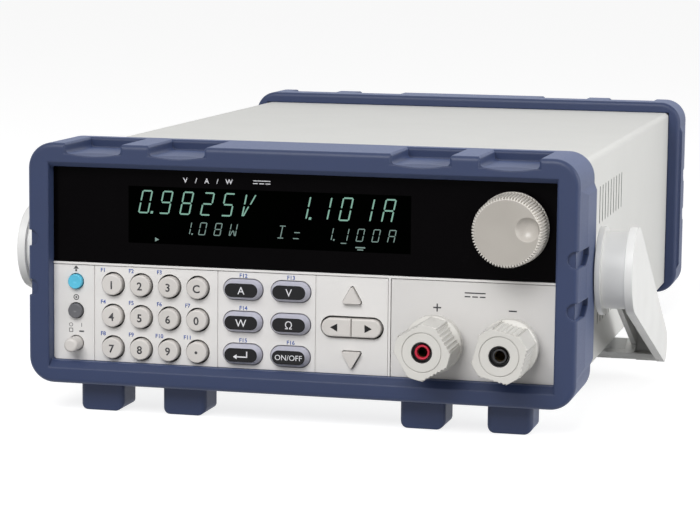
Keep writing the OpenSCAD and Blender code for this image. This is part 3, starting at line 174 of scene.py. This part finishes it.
# Smoked acrylic: almost black, smooth, with a reflection-reducing hard coat
smoked_acrylic = moulded("smoked_acrylic_window", "050405", "040304", 2.5, 0.002, 0.16, 0.2, specular=0.02)
# Unlit face of the fluorescent display, seen through the window: the deepest black on the front
dark_glass = moulded("soda_lime_glass_unlit", "010101", "010201", 2.5, 0.001, 0.12, 0.02, specular=0.0)
# Printed inks: a thin matt film
grey_ink = moulded("screen_printed_ink_grey", "343437", "2e2e31", 0.3, 0.004, 0.6, 0.02)
blue_ink = moulded("screen_printed_ink_blue", "34549c", "2d4c94", 0.3, 0.004, 0.6, 0.02)
pale_ink = moulded("screen_printed_ink_white", "dcdce0", "d2d2d6", 0.3, 0.004, 0.6, 0.02)
black_ink = moulded("pad_printed_ink_black", "101012", "161618", 0.5, 0.006, 0.45, 0.3, specular=0.2)
# Painted shade for the walls of the punched slots: a dull grey skin
slot_shade_skin = moulded("painted_slot_shade_grey", "6e6e6c", "7a7978", 0.5, 0.02, 0.6, 0.02)
# Zinc-plated steel: cool, slightly cloudy, drawn lines across the sheet
zinc_steel = metal("zinc_plated_steel", "c4c6c8", "aeb1b4", 0.34, 0.25, 0)
# Brass of the studs, darkened to a dull brown as painted shade in the bore of a socket
brass_painted_shade = metal("turned_brass_darkened_painted_shade", "7a6741", "5c4c2f", 0.36, 0.15, 1)
# Extruded aluminium of the heat sink, lines along the extrusion
aluminium = metal("extruded_aluminium", "c9cbcd", "b7babd", 0.36, 0.3, 1)
# Silicon-steel laminations, blued by heat
laminations = metal("stacked_silicon_steel", "5a5753", "3f3d3b", 0.48, 0.5, 0)


def solder_resist():
    """Glass-epoxy board under green solder resist: dark green film over a faint trace pattern."""
    material, tree, output, place = finish_of("solder_resist_green")
    lanes = add(tree, "TexBrick", {"Vector": place, "Scale": per_mm(10), "Color1": srgb("1d5a37"),
                                   "Color2": srgb("1a5233"), "Mortar": srgb("174a2e"), "Mortar Size": 0.03})
    speck = add(tree, "TexNoise", {"Vector": place, "Scale": per_mm(0.6)})
    bump = add(tree, "Bump", {"Height": speck.outputs[0], "Strength": 0.3, "Distance": 0.02 * MM})
    shader = add(tree, "BsdfPrincipled", {"Base Color": lanes.outputs[0], "Roughness": 0.32, "IOR": 1.5,
                                          "Normal": bump.outputs[0]})
    tree.links.new(shader.outputs[0], output.inputs[0])
    return material


def display_tube():
    """Soda-lime glass of the fluorescent display: dark teal, smooth, a fine grid of wires inside."""
    material, tree, output, place = finish_of("soda_lime_glass_display")
    wires = add(tree, "TexWave", {"Vector": place, "Scale": per_mm(1.2) / 20, "Distortion": 0.0})
    tint = add(tree, "Mix", {0: wires.outputs[1], 6: srgb("101c1a"), 7: srgb("16261f")}, data_type="RGBA")
    shader = add(tree, "BsdfPrincipled", {"Base Color": tint.outputs[2], "Roughness": 0.08, "IOR": 1.52})
    tree.links.new(shader.outputs[0], output.inputs[0])
    return material


def phosphor(name, colour, dim):
    """Zinc-oxide phosphor behind the window: pale green light, a little weaker where its grain is coarse."""
    material, tree, output, place = finish_of(name)
    grain = add(tree, "TexNoise", {"Vector": place, "Scale": per_mm(0.5)})
    tint = add(tree, "Mix", {0: grain.outputs[0], 6: srgb(colour), 7: srgb(dim)}, data_type="RGBA")
    shader = add(tree, "BsdfPrincipled", {"Base Color": srgb("0c1512"), "Roughness": 0.4,
                                          "Emission Color": tint.outputs[2], "Emission Strength": 1.0})
    tree.links.new(shader.outputs[0], output.inputs[0])
    return material


resist = solder_resist()
tube_glass = display_tube()
bright_phosphor = phosphor("zinc_oxide_phosphor_bright", "7cab99", "6c9a88")
faint_phosphor = phosphor("zinc_oxide_phosphor_faint", "768f88", "677f78")

FINISHES = {
    powder_coat: ("cover", "rear_panel"),
    zinc_steel: ("chassis", "case_screws", "pivot_screws", "encoder_body", "encoder_shaft", "data_port"),
    elastomer: ("front_bumper", "rear_bumper"),
    handle_abs: ("handle", "pivot_bosses"),
    panel_abs: ("front_frame", "keypad_plate"),
    terminal_abs_painted_shade: ("terminal_plate",),
    smoked_acrylic: ("display_window",),
    tube_glass: ("display_glass",),
    resist: ("front_board", "main_board"),
    key_mat_gap_shade: ("key_mat",),
    black_pbt: ("power_switch", "fan_housing", "fan_rotor", "power_inlet", "ring_negative"),
    knob_abs: ("knob",),
    post_nylon: ("post_collars", "cap_positive", "cap_negative"),
    brass_painted_shade: ("post_studs",),
    red_abs: ("ring_positive",),
    laminations: ("transformer",),
    aluminium: ("heat_sink",),
    green_pa: ("sense_terminals",),
    key_abs: ("key_1", "key_2", "key_3", "key_esc", "key_4", "key_5", "key_6", "key_0", "key_7", "key_8",
              "key_9", "key_dot", "key_up", "key_down", "key_left", "key_right", "power_button"),
    mode_pc: ("key_current", "key_voltage", "key_power", "key_resistance", "key_enter", "key_on_off"),
    cyan_abs: ("key_shift",),
    dark_abs: ("key_local",),
}
for material, names in FINISHES.items():
    for name in names:
        for slot in nodes[name].material_slots:
            slot.material = material


# Light, floor and camera

def lamp(name, at, target, width, height, power):
    """A soft area light at a place, turned to a target."""
    light = bpy.data.lights.new(name, "AREA")
    light.shape = "RECTANGLE"
    light.size = width
    light.size_y = height
    light.energy = power
    holder = bpy.data.objects.new(name, light)
    bpy.context.scene.collection.objects.link(holder)
    holder.location = at
    holder.rotation_euler = (Vector(target) - Vector(at)).to_track_quat("-Z", "Y").to_euler()


def seen_directly(tree):
    """1 for a camera, glossy or transmission ray, 0 for the rays that light the object."""
    path = add(tree, "LightPath", {})
    gloss = add(tree, "Math", {0: path.outputs["Is Camera Ray"], 1: path.outputs["Is Glossy Ray"]},
                operation="MAXIMUM")
    both = add(tree, "Math", {0: gloss.outputs[0], 1: path.outputs["Is Transmission Ray"]}, operation="MAXIMUM")
    return both.outputs[0]


scene = bpy.context.scene
scene.view_settings.view_transform = "Standard"
world = bpy.data.worlds.new("studio")
world.use_nodes = True
scene.world = world
sky = world.node_tree
sky.nodes.clear()
level = add(sky, "MapRange", {"Value": seen_directly(sky), "To Min": 0.34, "To Max": 1.0})
room = add(sky, "Background", {"Color": (1, 1, 1, 1), "Strength": level.outputs[0]})
add(sky, "OutputWorld", {"Surface": room.outputs[0]})

floor_paint, tree, output, place = finish_of("matt_white_backdrop")
paint = add(tree, "BsdfDiffuse", {"Color": (0.4, 0.4, 0.4, 1)})
bright = add(tree, "Math", {0: seen_directly(tree), 1: 0.8}, operation="MULTIPLY")
glow = add(tree, "Emission", {"Color": (1, 1, 1, 1), "Strength": bright.outputs[0]})
both = add(tree, "AddShader", {0: glow.outputs[0], 1: paint.outputs[0]})
tree.links.new(both.outputs[0], output.inputs[0])
sheet = bmesh.new()
bmesh.ops.create_grid(sheet, x_segments=1, y_segments=1, size=8)
floor_mesh = bpy.data.meshes.new("floor")
sheet.to_mesh(floor_mesh)
sheet.free()
floor_mesh.materials.append(floor_paint)
floor = bpy.data.objects.new("floor", floor_mesh)
scene.collection.objects.link(floor)
floor.location.z = cad_box[0][2] - 0.0002

lamp("softbox_key", (-0.18, -1.6, 1.26), (0, -0.1, 0.05), 1.2, 1.0, 32)
lamp("softbox_right", (0.95, -0.2, 0.35), (0.1, 0, 0.05), 0.6, 0.7, 5.4)
lamp("softbox_right_back", (1.7, 1.3, 0.6), (0, 0, 0.05), 1.4, 1.2, 0.9)

YAW, PITCH, ROLL = (math.radians(a) for a in (13.77, 7.57, 0.63))
look = Vector((-math.sin(YAW) * math.cos(PITCH), math.cos(YAW) * math.cos(PITCH), -math.sin(PITCH)))
level_right = Vector((math.cos(YAW), math.sin(YAW), 0))
level_up = level_right.cross(look)
right = math.cos(ROLL) * level_right + math.sin(ROLL) * level_up
up = -math.sin(ROLL) * level_right + math.cos(ROLL) * level_up
lens = bpy.data.cameras.new("camera")
lens.sensor_width = 36
lens.lens = 2523.93 * 36 / 700
lens.clip_start = 0.05
camera = bpy.data.objects.new("camera", lens)
scene.collection.objects.link(camera)
stance = Matrix((right, up, -look)).transposed().to_4x4()
camera.matrix_world = Matrix.Translation((258.086 * MM, -1134.5 * MM, 199.197 * MM)) @ stance
scene.camera = camera


# Tools for the pieces

def only(kind, geom):
    """The vertices or the edges among the results of an operator."""
    return [g for g in geom if isinstance(g, kind)]


def loop_of(verts):
    """The edges of a ring of vertices that isn't joined to anything yet, in a fixed order."""
    return list(dict.fromkeys(edge for v in verts for edge in v.link_edges))


def piece(shape, name, finishes, body, replaced=None):
    """Turns a finished shape into a piece that rides on a body, and may take the place of a node."""
    bmesh.ops.recalc_face_normals(shape, faces=shape.faces[:])
    mesh = bpy.data.meshes.new(name)
    shape.to_mesh(mesh)
    shape.free()
    for material in finishes:
        mesh.materials.append(material)
    made = bpy.data.objects.new(name, mesh)
    scene.collection.objects.link(made)
    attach(made, body)
    if replaced:
        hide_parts(replaced)
    return made


def middle(node):
    """Centre of a node across and up the panel, in mm over the case."""
    low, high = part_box(node)
    return (low.x + high.x) / 2 / MM, ((low.z + high.z) / 2 - CASE_Z) / MM


def face_up(shape, node):
    """Sets a shape, drawn in mm across the panel with its depth along Z, behind a node's front."""
    x, z = middle(node)
    bmesh.ops.transform(shape, verts=shape.verts[:], matrix=Matrix.Translation(
        (x * MM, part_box(node)[0].y, z * MM + CASE_Z)) @ Matrix.Rotation(-math.pi / 2, 4, "X") @ Matrix.Scale(MM, 4))


def print_on(carrier, shape, name, ink, body, film=FILM):
    """Lays a flat shape, drawn in mm across and up the panel, on a carrier's face as a thin closed film."""
    bmesh.ops.transform(shape, verts=shape.verts[:], matrix=Matrix.Translation((0, 0, CASE_Z))
                        @ Matrix.Rotation(math.pi / 2, 4, "X") @ Matrix.Scale(MM, 4))
    bmesh.ops.remove_doubles(shape, verts=shape.verts[:], dist=0.002 * MM)
    under = carrier.data
    face = BVHTree.FromPolygons([v.co for v in under.vertices], [f.vertices for f in under.polygons])
    for v in shape.verts:
        v.co.y = face.ray_cast((v.co.x, -1, v.co.z), (0, 1, 0))[0].y
    front = bmesh.ops.extrude_face_region(shape, geom=shape.faces[:])["geom"]
    bmesh.ops.translate(shape, vec=(0, -film, 0), verts=only(bmesh.types.BMVert, front))
    return piece(shape, name, [ink], body)


# Flat shapes, all in mm across and up the panel

def bar(shape, x, z, width, height, lean=0.0, corner=0.0, steps=1):
    """A bar centred at x, z, with its corners cut or rounded, leaned to the right."""
    made = bmesh.ops.create_grid(shape, x_segments=1, y_segments=1, size=0.5)["verts"]
    bmesh.ops.scale(shape, vec=(width, height, 1), verts=made)
    if corner:
        made = bmesh.ops.bevel(shape, geom=made, affect="VERTICES", offset=corner, segments=steps, profile=0.5,
                               material=-1)["verts"]
    shear = Matrix(((1, lean, 0, x), (0, 1, 0, z), (0, 0, 1, 0), (0, 0, 0, 1)))
    bmesh.ops.transform(shape, matrix=shear, verts=made)
    return made


def pill(shape, x, z, width, height, radius):
    """A plate with round corners."""
    return bar(shape, x, z, width, height, corner=radius, steps=10)


def triangle(shape, x, z, width, height, turn):
    """A triangle that points to the right before its turn."""
    made = bmesh.ops.create_circle(shape, cap_ends=True, segments=3, radius=1)["verts"]
    bmesh.ops.rotate(shape, cent=(0, 0, 0), matrix=Matrix.Rotation(-math.pi / 2, 3, "Z"), verts=made)
    bmesh.ops.scale(shape, vec=(width / 1.5, height / math.sqrt(3), 1), verts=made)
    bmesh.ops.rotate(shape, cent=(0, 0, 0), matrix=Matrix.Rotation(turn, 3, "Z"), verts=made)
    bmesh.ops.translate(shape, vec=(x, z, 0), verts=made)


def ring(shape, x, z, outer, inner, sides=32):
    """A ring between two diameters."""
    loops = []
    for d in (outer, inner):
        made = bmesh.ops.create_circle(shape, segments=sides, radius=d / 2)["verts"]
        bmesh.ops.rotate(shape, cent=(0, 0, 0), matrix=Matrix.Rotation(math.pi / sides, 3, "Z"), verts=made)
        bmesh.ops.translate(shape, vec=(x, z, 0), verts=made)
        loops += loop_of(made)
    bmesh.ops.bridge_loops(shape, edges=loops)


def rim(shape, x, z, width, height, wall):
    """A rim along the inside of a round-ended upright slot."""
    loops = []
    for gap in (0, wall):
        made = pill(shape, x, z, width - 2 * gap, height - 2 * gap, width / 2 - gap - 0.01)
        faces = list(dict.fromkeys(f for v in made for f in v.link_faces))
        bmesh.ops.delete(shape, geom=faces, context="FACES_ONLY")
        loops += loop_of(made)
    bmesh.ops.bridge_loops(shape, edges=loops)


def letters(shape, text, x, z, height, weight=0.0):
    """Text centred at x, z, with capitals of the given height and strokes thickened by weight."""
    curve = bpy.data.curves.new("letters", "FONT")
    curve.body = text
    curve.align_x = "CENTER"
    curve.resolution_u = 3
    curve.offset = weight
    holder = bpy.data.objects.new("letters", curve)
    scene.collection.objects.link(holder)
    bpy.context.view_layer.update()
    flat = bpy.data.meshes.new_from_object(holder.evaluated_get(bpy.context.evaluated_depsgraph_get()))
    bpy.data.objects.remove(holder)
    bpy.data.curves.remove(curve)
    scale = height / CAPITAL
    flat.transform(Matrix.Translation((x, z - height / 2, 0)) @ Matrix.Diagonal((scale, scale, 1, 1)))
    shape.from_mesh(flat)
    bpy.data.meshes.remove(flat)


def direct_current(shape, x, z, width, dash, drop, line):
    """The sign for direct current: a line over three dashes."""
    bar(shape, x, z, width, line)
    for i in (-1, 0, 1):
        bar(shape, x + i * (width - dash) / 2, z - drop, dash, line)


# Display: bars of phosphor in leaning cells, lettered as in a seven-bar display with a few diagonals
CELL_BARS = {"0": "abcdef", "1": "bc", "2": "abdeg", "5": "acdfg", "8": "abcdefg", "9": "abcdfg", "A": "abcefg",
             "V": "ef/", "W": "bcefw", "I": "adi", "=": "dg", "_": "d"}
LEAN = 0.21


def cell(shape, sign, x, z, width, height, line):
    """One character with its lower left corner at x, z."""
    half = height / 2
    mid = x + LEAN * half + width / 2
    across = width - 1.5 * line
    along = half - 1.3 * line
    cut = 0.3 * line
    for name in CELL_BARS[sign]:
        if name in "adg":
            up = {"a": height - line / 2, "g": half, "d": line / 2}[name]
            bar(shape, x + LEAN * up + width / 2, z + up, across, line, corner=cut)
        elif name in "bcef":
            up = half + (half / 2 if name in "bf" else -half / 2)
            side = width - line / 2 if name in "bc" else line / 2
            bar(shape, x + LEAN * up + side, z + up, line, along, lean=LEAN, corner=cut)
        elif name == "i":
            bar(shape, mid, z + half, line, height - 2.6 * line, lean=LEAN, corner=cut)
        elif name == "/":
            for part in (-0.25, 0.25):
                bar(shape, mid + part * (width - line) + LEAN * part * height + 0.3 * line, z + half + part * height,
                    line, along, lean=LEAN + (width - 2 * line) / height, corner=cut)
        elif name == "w":
            for side in (-1, 1):
                bar(shape, x + LEAN * half / 2 + width / 2 + side * (width - 2 * line) / 4, z + half / 2,
                    line, along, lean=LEAN - side * (width - 3 * line) / height, corner=cut)


window = nodes["display_window"]
field = bmesh.new()
bar(field, -13.35, 64.9, 117.5, 23.2)
print_on(window, field, "display_field", dark_glass, "case")

big = bmesh.new()
for signs, x in (("09825V", -68.1), ("1101A", -1.8)):
    for i, sign in enumerate(signs):
        cell(big, sign, x + 8.73 * i, 65.5, 4.5, 9.5, 0.6)
    bar(big, x + 5.9, 66.0, 1.0, 1.0, lean=LEAN)
print_on(window, big, "display_digits_large", bright_phosphor, "case", film=2 * FILM)

small = bmesh.new()
for signs, x in (("108W", -49.0), ("I=", -9.6), ("1", 10.1), ("1", 16.5), ("00A", 22.9)):
    for i, sign in enumerate(signs):
        cell(small, sign, x + 6.42 * i, 57.5, 2.9, 5.2, 0.35)
cell(small, "_", 16.5, 56.4, 2.9, 5.2, 0.35)
for x in (-45.1, 14.0):
    bar(small, x, 57.8, 0.6, 0.6, lean=LEAN)
print_on(window, small, "display_digits_small", faint_phosphor, "case", film=2 * FILM)

signs = bmesh.new()
triangle(signs, -60.2, 55.0, 1.7, 1.7, 0)
bar(signs, 24.9, 55.1, 4.0, 0.5)
bar(signs, 24.9, 54.2, 2.4, 0.4)
print_on(window, signs, "display_signs", faint_phosphor, "case", film=2 * FILM)

heading = bmesh.new()
for text, x in (("V", -48.0), ("/", -43.5), ("A", -39.0), ("/", -34.5), ("W", -29.6)):
    letters(heading, text, x, 79.6, 2.1, weight=0.025)
direct_current(heading, -16.0, 80.3, 7.2, 2.0, 1.1, 0.35)
print_on(window, heading, "window_heading", pale_ink, "case")


# Keys

def key_top(shape, node):
    """Deepens a flat outline, drawn about a node's middle, into a key with a soft edge that replaces the node."""
    back = shape.verts[:]
    front = bmesh.ops.extrude_face_region(shape, geom=shape.faces[:])["geom"]
    bmesh.ops.translate(shape, vec=(0, 0, 5.0), verts=back)
    bmesh.ops.bevel(shape, geom=only(bmesh.types.BMEdge, front), affect="EDGES", offset=0.6, segments=5,
                    profile=0.5, material=-1)
    face_up(shape, node)
    return piece(shape, "button_" + node, [key_abs], node, node)


# Number keys: short round buttons, a little slimmer than their holes, and their legends
NUMBERS = {"key_1": "1", "key_2": "2", "key_3": "3", "key_esc": "C", "key_4": "4", "key_5": "5", "key_6": "6",
           "key_0": "0", "key_7": "7", "key_8": "8", "key_9": "9", "key_dot": ""}
for node, text in NUMBERS.items():
    shape = bmesh.new()
    bmesh.ops.create_circle(shape, cap_ends=True, segments=64, radius=4.3)
    button = key_top(shape, node)
    legend = bmesh.new()
    if text:
        letters(legend, text, *middle(node), 3.3, weight=0.022)
    else:
        pill(legend, *middle(node), 1.2, 1.2, 0.55)
    print_on(button, legend, "legend_" + node, grey_ink, node)

# Mode keys: a thick dark print on the face and a pale legend on top of it
MODES = {"key_current": "A", "key_voltage": "V", "key_power": "W", "key_resistance": "\u03a9", "key_enter": "",
         "key_on_off": "ON/OFF"}
for node, text in MODES.items():
    x, z = middle(node)
    face = bmesh.new()
    pill(face, x, z, 13.7, 5.6, 2.78)
    print_on(nodes[node], face, "face_" + node, black_ink, node, film=0.08 * MM)
    legend = bmesh.new()
    if text:
        letters(legend, text, x, z, 2.3 if len(text) > 1 else 3.2)
    else:
        bar(legend, x + 0.6, z - 0.7, 4.4, 0.5)
        bar(legend, x + 2.55, z + 0.45, 0.5, 2.3)
        triangle(legend, x - 2.2, z - 0.7, 1.6, 2.0, math.pi)
    made = print_on(nodes[node], legend, "legend_" + node, pale_ink, node)
    made.data.transform(Matrix.Translation((0, -0.08 * MM, 0)))

# Left and right keys: the two halves of an obround
PAIR_X = (middle("key_left")[0] + middle("key_right")[0]) / 2
for node, side in (("key_left", -1), ("key_right", 1)):
    x, z = middle(node)
    shape = bmesh.new()
    pill(shape, PAIR_X - x, 0, 24.5, 7.4, 3.69)
    bmesh.ops.bisect_plane(shape, geom=shape.verts[:] + shape.edges[:] + shape.faces[:], clear_outer=True,
                           plane_co=(PAIR_X - x + side * 0.12, 0, 0), plane_no=(-side, 0, 0))
    button = key_top(shape, node)
    arrow = bmesh.new()
    triangle(arrow, PAIR_X + side * 6.6, z, 3.0, 3.3, 0 if side > 0 else math.pi)
    print_on(button, arrow, "legend_" + node, black_ink, node)

# Legends on the panel: blue for the second use of a key, grey for the rest
blue = bmesh.new()
for i, node in enumerate([n for n in NUMBERS if n != "key_esc"]):
    x, z = middle(node)
    letters(blue, "F%d" % (i + 1), x - 4.4, z + 5.7, 1.7, weight=0.02)
for i, node in enumerate([n for n in MODES if n != "key_resistance"]):
    x, z = middle(node)
    letters(blue, "F%d" % (i + 12), x, z + 5.6, 1.7, weight=0.02)
print_on(nodes["keypad_plate"], blue, "panel_legends_blue", blue_ink, "case")

grey = bmesh.new()
x, z = middle("key_shift")
triangle(grey, x, z + 5.6, 1.4, 2.4, math.pi / 2)
bar(grey, x, z + 4.5, 0.8, 0.9)
x, z = middle("key_local")
ring(grey, x, z + 5.5, 2.4, 1.7)
pill(grey, x, z + 5.5, 0.8, 0.8, 0.38)
x, z = middle("power_button")
letters(grey, "O", x - 2.3, z + 7.6, 1.7)
letters(grey, "I", x + 2.3, z + 7.6, 1.7)
ring(grey, x - 2.3, z + 5.3, 2.4, 1.7, sides=4)
bar(grey, x + 2.3, z + 4.9, 2.0, 0.6)
print_on(nodes["keypad_plate"], grey, "panel_legends_grey", grey_ink, "case")

poles = bmesh.new()
bar(poles, 56.5, 32.5, 3.2, 0.55)
for side in (-1, 1):
    bar(poles, 56.5, 32.5 + side * 0.95, 0.55, 1.3)
bar(poles, 86.9, 32.4, 3.2, 0.55)
direct_current(poles, 71.7, 38.9, 8.4, 2.3, 1.5, 0.5)
print_on(nodes["terminal_plate"], poles, "terminal_legends", grey_ink, "case")

# Knob, drawn as rings of radius, depth behind the face and depth of the flutes, from its shaft hole round the back
# to the face; the side from ring FLUTED on is paler, a painted highlight on the ribs
KNOB = ((3.05, 3.7, 0), (3.05, 15.0, 0), (14.5, 15.0, 0), (14.5, 13.9, 0), (14.42, 13.8, 0.8), (13.9, 1.2, 0.9),
        (13.5, 0.15, 0.75), (12.7, 0.0, 0))
FLUTED = 3
# Shares of the depth over one flute and its rib
FLUTE = (1.0, 0.8, 0, 0, 0, 0.8)
knob = bmesh.new()
loops = []
for r, depth, cut in KNOB:
    made = bmesh.ops.create_circle(knob, segments=72 * len(FLUTE), radius=r)["verts"]
    for i, v in enumerate(made):
        v.co *= 1 - cut * FLUTE[i % len(FLUTE)] / r
    bmesh.ops.translate(knob, vec=(0, 0, depth), verts=made)
    loops.append(loop_of(made))
for i, (behind, ahead) in enumerate(zip(loops, loops[1:])):
    for f in bmesh.ops.bridge_loops(knob, edges=behind + ahead)["faces"]:
        f.material_index = int(i >= FLUTED)
bmesh.ops.edgeloop_fill(knob, edges=loops[0])

# Finger dimple in its face: a shallow part of a ball
DIMPLE_R, DIMPLE_T = 4.85, 2.6
ball = (DIMPLE_R ** 2 + DIMPLE_T ** 2) / (2 * DIMPLE_T)
bowl = []
for i in range(10):
    angle = math.asin(DIMPLE_R / ball) * (1 - i / 10)
    made = bmesh.ops.create_circle(knob, segments=64, radius=ball * math.sin(angle))["verts"]
    bmesh.ops.translate(knob, vec=(8.2, -1.5, DIMPLE_T - ball * (1 - math.cos(angle))), verts=made)
    bowl.append(loop_of(made))
hollow = []
for outer, inner in zip(bowl, bowl[1:]):
    hollow += bmesh.ops.bridge_loops(knob, edges=outer + inner)["faces"]
hollow += bmesh.ops.edgeloop_fill(knob, edges=bowl[-1])["faces"]
for f in hollow:
    f.smooth = True
    f.material_index = 2
bmesh.ops.triangle_fill(knob, edges=loops[-1] + bowl[0], use_beauty=True)
face_up(knob, "knob")
# The ribs and the dimple take paler copies of the plastic, a painted highlight
piece(knob, "fluted_knob", [knob_abs, rib_abs_painted_highlight, dimple_abs_painted_highlight], "knob", "knob")

# Turned parts round each plug socket, drawn as radius and depth behind the cap's face in mm
SLEEVE = ((4.12, 0.3), (4.12, 3.4), (3.2, 3.4), (3.2, 3.2), (3.9, 3.2), (3.9, 0.3))
LIP = ((2.06, 3.0), (2.06, 1.3), (2.3, 1.02), (2.75, 1.02), (2.99, 1.3), (2.99, 3.0))


def turned(cap, profile):
    """A closed profile spun about the axis of a binding post."""
    shape = bmesh.new()
    points = [shape.verts.new((r, 0, d)) for r, d in profile]
    lines = [shape.edges.new((points[i - 1], v)) for i, v in enumerate(points)]
    bmesh.ops.spin(shape, geom=points + lines, cent=(0, 0, 0), axis=(0, 0, 1), angle=2 * math.pi, steps=48,
                   use_merge=True)
    face_up(shape, cap)
    return shape


for pole, plastic, slot in (("positive", red_abs, "red_plastic"), ("negative", black_pbt, "black_plastic")):
    cap = "cap_" + pole
    piece(turned(cap, SLEEVE), "well_sleeve_" + pole, [black_pbt], cap)
    piece(turned(cap, LIP), "socket_lip_" + pole, [plastic], "case", "ring_" + pole)

# Painted shade in the side slots: a thin grey skin inside each slot of the cover
edges = bmesh.new()
for row in (14.4, 57.6):
    for i in range(9):
        rim(edges, 91.7 + 8.4 * i, row + 8.1, 1.78, 16.18, 0.08)
back = bmesh.ops.extrude_face_region(edges, geom=edges.faces[:])["geom"]
bmesh.ops.translate(edges, vec=(0, 0, -1.16), verts=only(bmesh.types.BMVert, back))
side = Matrix(((0, 0, 1, 0), (1, 0, 0, 0), (0, 1, 0, 0), (0, 0, 0, 1)))
bmesh.ops.transform(edges, verts=edges.verts[:], matrix=Matrix.Translation(
    (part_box("cover")[1].x - 0.02 * MM, PANEL_Y, CASE_Z)) @ side @ Matrix.Scale(MM, 4))
other = bmesh.ops.duplicate(edges, geom=edges.verts[:] + edges.edges[:] + edges.faces[:])["geom"]
bmesh.ops.scale(edges, vec=(-1, 1, 1), verts=only(bmesh.types.BMVert, other))
piece(edges, "slot_walls_painted_shade", [slot_shade_skin], "case")
